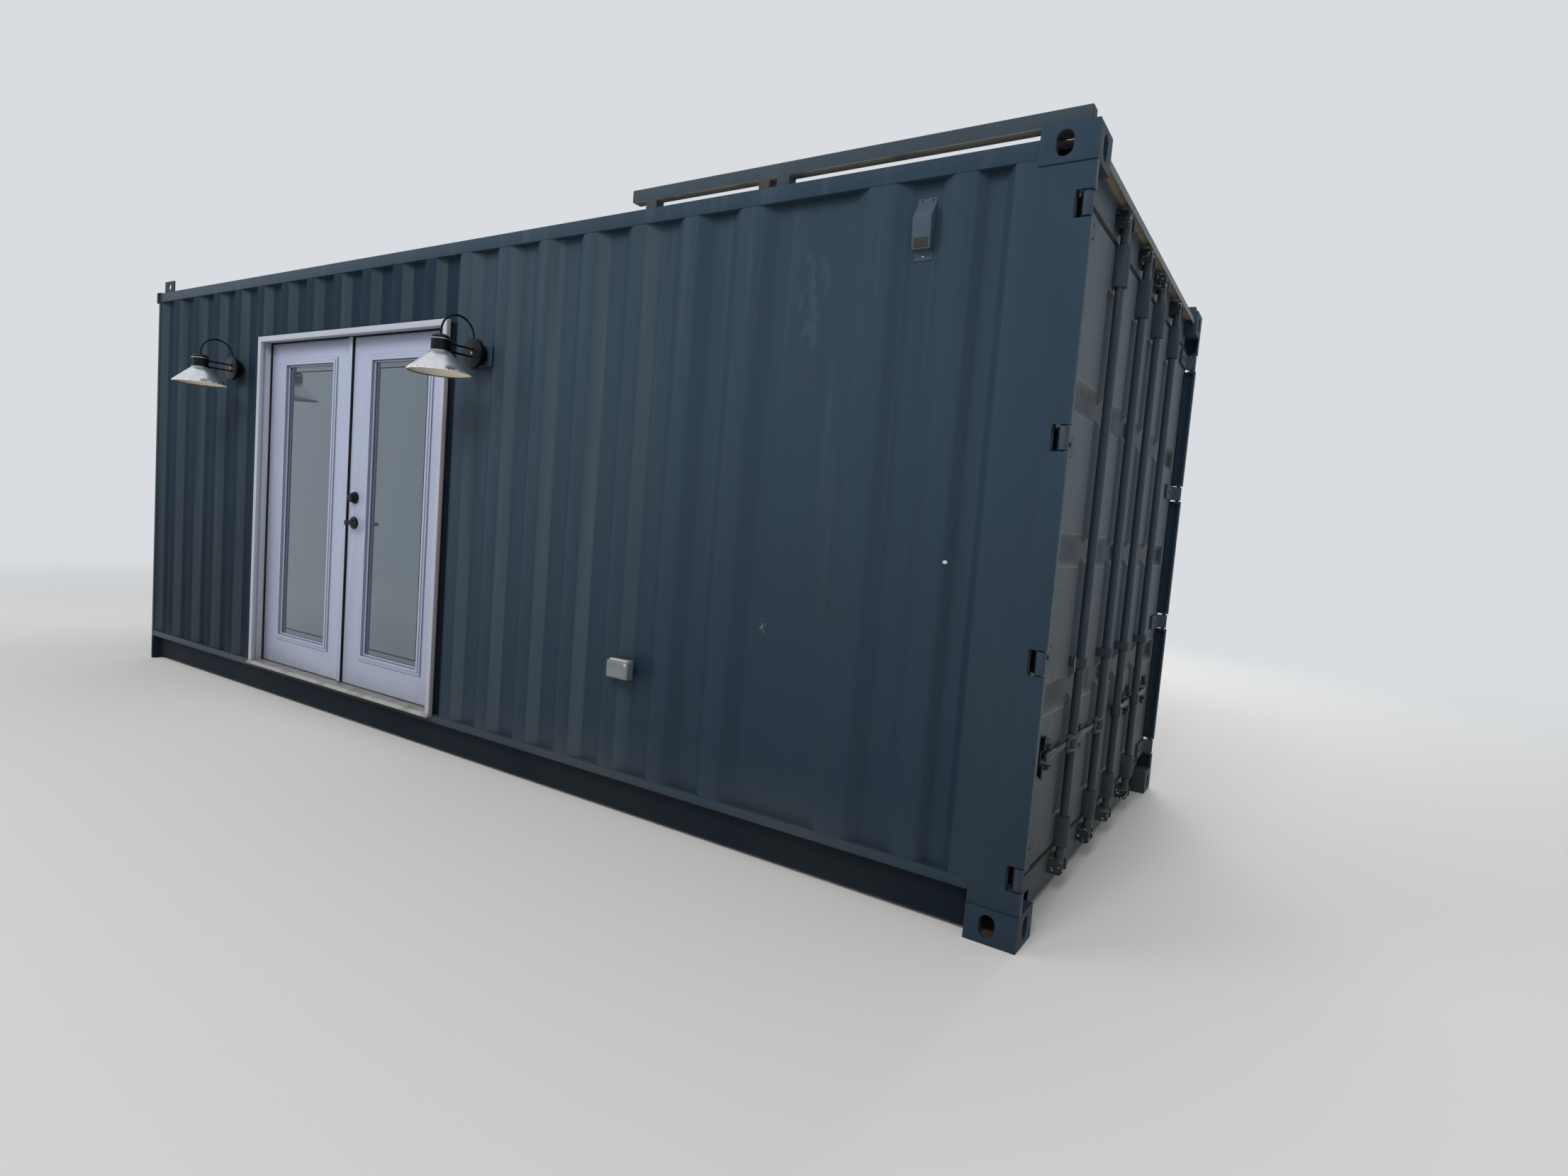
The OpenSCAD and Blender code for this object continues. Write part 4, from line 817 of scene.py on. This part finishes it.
# Lamp shades: spun aluminium, brushed outside with a rolled dark rim, and painted a warm cream
# inside, with an opal bulb in a white porcelain socket under the holder.
shade_coat = Finish("shade_metal", IOR=1.5)
outside = shade_coat.facing("Z").ramp(-0.05, 0.12)
spun = shade_coat.noise(0.0025, 2, stretch=(0.2, 0.2, 1))
bloom = shade_coat.noise(0.03, 4).ramp(0.35, 0.7)
bare_metal = shade_coat.mix(bloom * 0.4, paint(236, 238, 240), paint(204, 207, 210))
shade_coat.set("Base Color", shade_coat.mix(outside, paint(236, 224, 206), bare_metal))
shade_coat.set("Metallic", outside * 0.92)
shade_coat.set("Roughness", 0.5 - outside * 0.22 + bloom * 0.06 + spun * 0.04)
shade_coat.relief(spun, 0.0002, 0.25)


def smoothed(node, finish, angle=35):
    """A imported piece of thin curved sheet, with its facets smoothed and its edges left."""
    piece = cleaned(node, whole_faces=False)
    bpy.ops.object.shade_smooth_by_angle(angle=math.radians(angle))
    return stands_for(piece, node, finish)


smoothed("lamp_shades", shade_coat)
rim = ring("shade_rims", (lamp_x, lamp_y, shade_low.z + 2), shade_r - 2, 1.9, sides=64)
finished(joined("shade_rims", [rim, again(rim, to_right_lamp)]), black_coat, "shell")
bulb_coat = Finish("bulb_glass", Transmission_Weight=0.25, Coat_Weight=0.4)
bulb_dust = bulb_coat.noise(0.02, 4)
bulb_coat.set("Base Color", bulb_coat.mix(bulb_dust * 0.4, paint(236, 230, 216),
                                          paint(210, 200, 182)))
bulb_coat.set("Roughness", 0.3 + bulb_dust * 0.2)
smoothed("lamp_bulbs", bulb_coat)
porcelain = Finish("socket_porcelain", Roughness=0.3, Coat_Weight=0.3)
porcelain.set("Base Color", porcelain.mix(porcelain.noise(0.01, 3), paint(214, 206, 190),
                                          paint(232, 226, 214)))
socket_shape = ((26, 0), (26, 6), (21, 9), (20, 26), (17, 30), (14.6, 30), (14.6, 12))
socket = turned("lamp_sockets", socket_shape, (lamp_x, lamp_y, lamp_level - holder_half - 1.5),
                (0, 0, -1), sides=32)
finished(joined("lamp_sockets", [socket, again(socket, to_right_lamp)]), porcelain, "shell")


# Vent: a pressed hood in the wall's colour over a brown insect mesh, held by its two flanges. The
# upper flange has lost its screws, and the lower one has kept its own.
vent_coat = slate("slate_vent", high=paint(65, 78, 90), low=paint(56, 67, 78), gloss=0.4)
vent_low, vent_high = measured("wall_vent")
vent_x = (vent_low.x + vent_high.x) / 2
hole_aside, hole_below, hole_size = 20, 8, (8, 8)
screw_holes = spot(vent_coat, (vent_x - hole_aside, vent_high.z - hole_below), hole_size).over(
    spot(vent_coat, (vent_x + hole_aside, vent_high.z - hole_below), hole_size))
vent_coat.set("Base Color", vent_coat.mix(screw_holes, vent_coat.colour, paint(16, 18, 20)))
softened("wall_vent", vent_coat, 2)
mesh_coat = Finish("brown_mesh", Roughness=0.7)
mesh_pitch = 3.0
wire_x, wire_z = [abs((mesh_coat.along(axis) / mesh_pitch).fraction() - 0.5).ramp(0.22, 0.32)
                  for axis in "XZ"]
wires = wire_x.over(wire_z)
mesh_coat.set("Base Color", mesh_coat.mix(wires, paint(20, 20, 19), paint(52, 51, 48)))
mesh_coat.relief(wires, 0.0006, 0.6)
hood_low, hood_front, hood_slope = vent_low.z + 31, 12, 10 / 105
screen_half, screen_from, screen_h = 26, 5, 32
screen = block("vent_screen", (vent_x - screen_half, hood_front - 1.4, hood_low + screen_from),
               (vent_x + screen_half, hood_front + 4, hood_low + screen_from + screen_h))
work_on(screen, lambda middle, normal: normal.z > 0.9)
bpy.ops.transform.translate(value=(0, -screen_h * hood_slope / 1000, 0))
clear_choice()
finished(eased(screen, 0.6), mesh_coat, "shell")
flange_screw = turned("vent_screw", pan_head, (vent_x, vent_high.y - 3.2, vent_low.z + 14),
                      (0, -1, 0))
finished(flange_screw, steel, "shell")


# Outlet: a box of grey plastic with a clear grey lid that has dulled in the sun, hinged along its
# top on a moulded barrel, and shut by a knob at its corner.
box_coat = Finish("box_plastic", Coat_Weight=0.2)
box_cloud = box_coat.noise(0.05, 4)
box_coat.set("Base Color", box_coat.mix(box_cloud, paint(92, 97, 100), paint(116, 120, 122)))
box_coat.set("Roughness", 0.36 + box_cloud * 0.2)
box_coat.relief(box_coat.noise(0.002, 2), 0.0003, 0.3)
box_low, box_high = measured("outlet_box")
lid_split = box_low.y + 20
lid_rim, lid_rise, lid_step, lid_dip = 0.010, 0.004, 0.009, 0.003
case = block("outlet_case", (box_low.x + 3, lid_split + 1.5, box_low.z),
             (box_high.x - 3, box_high.y, box_high.z - 2))
lid = block("outlet_lid", (box_low.x, box_low.y + 5, box_low.z + 2),
            (box_high.x, lid_split, box_high.z - 8))
work_on(lid, lambda middle, normal: normal.y < -0.9)
bpy.ops.mesh.inset(thickness=lid_rim)
bpy.ops.transform.translate(value=(0, -lid_rise, 0))
bpy.ops.mesh.inset(thickness=lid_step)
bpy.ops.transform.translate(value=(0, lid_dip, 0))
clear_choice()
whole_box = eased(joined("outlet_cover", [eased(case, 5, 3), eased(lid, 4, 3)]), 0.4, 1, 50)
stands_for(whole_box, "outlet_box", box_coat)
pale_plastic = Finish("pale_plastic", Roughness=0.4)
pale_plastic.set("Base Color", pale_plastic.mix(
    pale_plastic.noise(0.02, 3), paint(158, 162, 164), paint(184, 187, 188)))
barrel_shape = ((4.5, 0), (5.5, 1), (5.5, 99), (4.5, 100))
knob_shape = ((7, 0), (7.5, 2), (6.5, 4), (3.5, 5))
barrel = turned("outlet_fittings", barrel_shape,
                (box_low.x + 9, lid_split - 3, box_high.z - 7), (1, 0, 0))
knob = turned("outlet_fittings", knob_shape,
              (box_high.x - 13, box_low.y + 5.2, box_high.z - 20), (0, -1, 0))
finished(joined("outlet_fittings", [barrel, knob]), pale_plastic, "shell")


# Cargo doors: heavy steel leaves with pressed grooves across them. Their paint is greyer than on
# the sides. The grooves are painted darker as shade, the faces under each edge tan as painted
# light from below, and each rim paler as a painted highlight.
def door_end_paint(name, high, low, gloss=0.45, dust_and_light_share=1.0):
    coat = slate(name, high, low, gloss)
    up = coat.facing("Z")
    dirt = coat.noise(0.05, 5)
    # Faces that look up are painted paler, partly dust and partly painted light. Faces that look
    # down are painted tan, as light thrown up from below.
    up_dust_and_light = up.ramp(0.15, 0.6) * dirt.ramp(0.2, 0.55)
    painted_down_light = (-up).ramp(0.15, 0.6) * dirt.ramp(0.3, 0.6)
    streaked = coat.noise(0.03, 4, stretch=(1, 1, 0.08)).ramp(0.52, 0.75)
    colour = coat.mix(streaked * 0.3, coat.colour, paint(98, 100, 96))
    colour = coat.mix(painted_down_light * (0.55 * dust_and_light_share), colour, paint(104, 100, 78))
    coat.colour = coat.mix(up_dust_and_light * (0.45 * dust_and_light_share), colour, paint(120, 118, 106))
    return coat.set("Base Color", coat.colour)


cargo_high, cargo_low = paint(81, 93, 103), paint(61, 66, 69)
cargo_coat = door_end_paint("cargo_door_paint", cargo_high, cargo_low)
door_low, door_high = measured("near_cargo_door")
depth = door_high.x - cargo_coat.along("X")
# The grooves are painted darker as shade, and each groove's rim paler as a painted highlight.
painted_groove_shade = depth.ramp(3, 20) * (0.75 + cargo_coat.facing("Z").ramp(-0.5, 0.5) * 0.25)
painted_groove_shade = painted_groove_shade * (1 - depth.ramp(34, 40))
painted_rim_highlight = depth.ramp(0.2, 0.7) * (1 - depth.ramp(2.4, 3.6))
cargo_coat.colour = cargo_coat.mix(painted_groove_shade * 0.5, cargo_coat.colour, paint(34, 43, 50))
cargo_coat.colour = cargo_coat.mix(painted_rim_highlight * 0.45, cargo_coat.colour, paint(126, 132, 132))
cargo_coat.set("Base Color", cargo_coat.colour)
for node in ("near_cargo_door", "far_cargo_door"):
    softened(node, cargo_coat, 4, steps=3)


# Header and sill: folded steel beams over and under the cargo doors, welded to the posts. The
# header's front is painted tan in patches as painted sunlight, under a thin lip that is welded
# along it as a gutter.
softened("door_sill", cargo_coat, 3)
header_coat = door_end_paint("header_paint", cargo_high, cargo_low)
# The header's front is painted tan in patches, as painted sunlight.
painted_sun_band = header_coat.along("X").ramp(-58, -50) * header_coat.noise(0.04, 4).ramp(0.2, 0.5)
header_coat.set("Base Color", header_coat.mix(painted_sun_band * 0.85, header_coat.colour,
                                              paint(158, 140, 116)))
softened("door_header", header_coat, 2)
# The lip is painted paler than the doors, as painted light on its edge.
lip_light_coat = door_end_paint("gutter_lip_light_paint", paint(112, 119, 120), paint(96, 102, 102))
header_front, header_top = measured("door_header")[1].x, measured("door_header")[1].z
lip_t, lip_drop = 5, 28
gutter_lip = block("gutter_lip", (header_front - lip_t, casting_w, header_top - lip_drop),
                   (header_front, body_w - casting_w, header_top))
finished(eased(gutter_lip, 1.6), lip_light_coat, "shell")


# Hinges: forged steel blades bolted to the cargo doors, on pins in the corner posts. Faces that
# look away from the door end are painted near black, as the shade in each knuckle's slot
# behind the post.
hinge_coat = door_end_paint("hinge_paint", paint(51, 64, 75), paint(42, 50, 58), dust_and_light_share=0.4)
# Faces that look away from the door end: painted shade, near black, for the knuckle's slot.
painted_slot_shade = (-hinge_coat.facing("X")).ramp(0.3, 0.7)
hinge_coat.set("Base Color", hinge_coat.mix(painted_slot_shade * 0.85, hinge_coat.colour,
                                            paint(10, 12, 14)))
for node in ("near_door_hinges", "far_door_hinges"):
    softened(node, hinge_coat, 2)


# Keepers and guides: forged cam keepers welded to the header and the sill, with the paint knocked
# off in flecks, and pressed guides bolted to the doors. The guides by the handles are near black.
def chipped(coat, share=1.0):
    """Pale flecks where forged ends have knocked the paint off each other."""
    flecks = coat.noise(0.012, 4).ramp(0.60, 0.66) * share
    return coat.set("Base Color", coat.mix(flecks * 0.8, coat.colour, paint(190, 192, 190)))


keeper_coat = door_end_paint("keeper_paint", paint(26, 35, 44), paint(20, 27, 33), dust_and_light_share=0.25)
softened("rod_keepers", chipped(keeper_coat), 3)
guide_coat = door_end_paint("guide_paint", paint(46, 59, 71), paint(39, 48, 55), dust_and_light_share=0.25)
handle_level = 582
at_catch = 1 - (abs(guide_coat.along("Z") - handle_level) - 90).ramp(0, 10)
guide_coat.colour = guide_coat.mix(at_catch * 0.85, guide_coat.colour, paint(12, 17, 22))
guide_coat.set("Base Color", guide_coat.colour)
for node in ("near_rod_guides", "far_rod_guides"):
    softened(node, guide_coat, 2)


# Locking rods: steel tube in a darker coat, turned by flat handles. Their forged cams have worn
# to brown rust where they bite behind the keepers.
rod_middle, cams_start = 1297, 1165
rod_coat = door_end_paint("rod_paint", paint(54, 68, 79), paint(40, 50, 58), gloss=0.34,
                          dust_and_light_share=0.25)
from_rod_middle = abs(rod_coat.along("Z") - rod_middle)
end_rust = (from_rod_middle - cams_start).ramp(-45, 45) * rod_coat.noise(0.02, 5).ramp(0.38, 0.62)
rod_rust = rod_coat.mix(rod_coat.noise(0.012, 3), rust_dark, paint(104, 74, 52))
rod_end = (from_rod_middle - cams_start).ramp(0, 30)
rod_coat.colour = rod_coat.mix(rod_end * 0.7, rod_coat.colour, paint(14, 18, 22))
rod_coat.colour = rod_coat.mix(end_rust * 0.6, rod_coat.colour, rod_rust)
chipped(rod_coat, rod_end)
for node in ("near_outer_rod", "near_inner_rod", "far_inner_rod", "far_outer_rod"):
    softened(node, rod_coat, 1.6)


# Hubs and catches: forged ears that hold each flat handle to its rod, with a pin through them, and
# a bent catch on the door above and below the handle's end. The catches are nearly black.
def across(piece, name):
    """A copy mirrored to the far long side."""
    twin = piece.copy()
    twin.data = piece.data.copy()
    twin.name = name
    bpy.context.collection.objects.link(twin)
    middle = at(0, body_w / 2, 0).y
    twin.data.transform(Matrix.Translation((0, 2 * middle, 0)) @ Matrix.Scale(-1, 4, (0, 1, 0)))
    twin.data.flip_normals()
    return twin


cam_r, handle_reach = 24, 330
ear_back, ear_front, ear_t, ear_narrows, ear_before, ear_past = -49, -11, 10, 0.55, 62, 14
ear_levels = (handle_level - 29, handle_level + 19)
pin_shape, pin_x, pin_aside, pin_drop = ((6, 0), (7, 1.5), (7, 70), (6, 71.5)), -32, 46, 36
hook_back, hook_before, hook_past, hook_in = -54, 14, 16, 0.010
upper_hook, lower_hook = (20, 70, -38, 0.012), (-66, -22, -40, -0.010)
hub_coat = door_end_paint("hub_paint", paint(74, 82, 88), paint(58, 64, 70), gloss=0.4, dust_and_light_share=0.4)
near_rods = ("near_outer_rod", "near_inner_rod")
rod_ys = [measured(rod)[1].y - cam_r for rod in near_rods]
catches = []
for rod, rod_y in zip(near_rods, rod_ys):
    ears = []
    for level in ear_levels:
        ear = block("ear", (ear_back, rod_y - ear_before, level),
                    (ear_front, rod_y + ear_past, level + ear_t))
        work_on(ear, lambda middle, normal: normal.y < -0.9)
        bpy.ops.transform.resize(value=(ear_narrows, 1, 1))
        clear_choice()
        ears.append(eased(ear, 2.4))
    ears.append(turned("ear", pin_shape, (pin_x, rod_y - pin_aside, handle_level - pin_drop),
                       (0, 0, 1), 16))
    hub = joined(rod + "_hub", ears)
    far_rod = rod.replace("near", "far")
    finished(across(hub, far_rod + "_hub"), hub_coat, far_rod)
    finished(hub, hub_coat, rod)
    hook_y = rod_y - handle_reach
    for hook_from, hook_to, hook_front, hook_bend in (upper_hook, lower_hook):
        hook = block("hook", (hook_back, hook_y - hook_before, handle_level + hook_from),
                     (hook_front, hook_y + hook_past, handle_level + hook_to))
        work_on(hook, lambda middle, normal: normal.x > 0.9)
        bpy.ops.transform.translate(value=(0, -hook_in, hook_bend))
        clear_choice()
        catches.append(eased(hook, 3))
near_catches = joined("near_handle_catches", catches)
finished(across(near_catches, "far_handle_catches"), guide_coat, "far_cargo_door")
finished(near_catches, guide_coat, "near_cargo_door")


# Gaskets, plate and bolts: black rubber lips in a strip round each cargo door, pinched against the
# frame, a blank plate on the near door, round-headed bolts through the hinge blades and beside the
# rod guides, and a loop of wire round the outer rod.
lap, proud, gasket_t = 14, 3, 3
plate_ys, plate_levels, plate_t = (144, 372), (913, 1157), 1.8
near_seal = hoop("near_door_seal", (door_high.x, door_low.y - proud, door_low.z - proud),
                 (door_high.x + gasket_t, door_high.y + proud, door_high.z + proud),
                 lap + proud, 0)
eased(near_seal, 1)
far_seal = across(near_seal, "far_door_seal")
finished(near_seal, rubber, "near_cargo_door")
finished(far_seal, rubber, "far_cargo_door")
plate = block("near_door_blank_plate", (door_high.x - 1, plate_ys[0], plate_levels[0]),
              (door_high.x + plate_t, plate_ys[1], plate_levels[1]))
finished(eased(plate, 0.8), cargo_coat, "near_cargo_door")

bolt_dome = ((9, 0), (8.6, 2), (6.4, 4.2), (2.8, 5.4))
groove_floor, guide_level, bolt_aside = door_high.x - 25, 884, 34
hinge_low, hinge_high = measured("near_door_hinges")
blade_face, blade_half, blade_count, blade_bolts = door_high.x + 12, 36, 4, (90, 140, 190)
blade_pitch = (hinge_high.z - hinge_low.z - 2 * blade_half) / (blade_count - 1)
bolts = [turned("bolt", bolt_dome, (groove_floor, rod_y + side, guide_level), (1, 0, 0), 16)
         for rod_y in rod_ys for side in (-bolt_aside, bolt_aside)]
bolts += [turned("bolt", bolt_dome, (blade_face, y, hinge_low.z + blade_half + step * blade_pitch),
                 (1, 0, 0), 16)
          for step in range(blade_count) for y in blade_bolts]
near_bolts = joined("near_door_bolts", bolts)
loop_r, wire_r = 29, 1.6
loop = ring("wire_loop", (-40, rod_ys[0] - 24, guide_level - 4), loop_r, wire_r, sides=40,
            way=(1, 0.1, 0.06))
finished(loop, steel, "near_cargo_door")
far_bolts = across(near_bolts, "far_door_bolts")
finished(near_bolts, guide_coat, "near_cargo_door")
finished(far_bolts, guide_coat, "far_cargo_door")
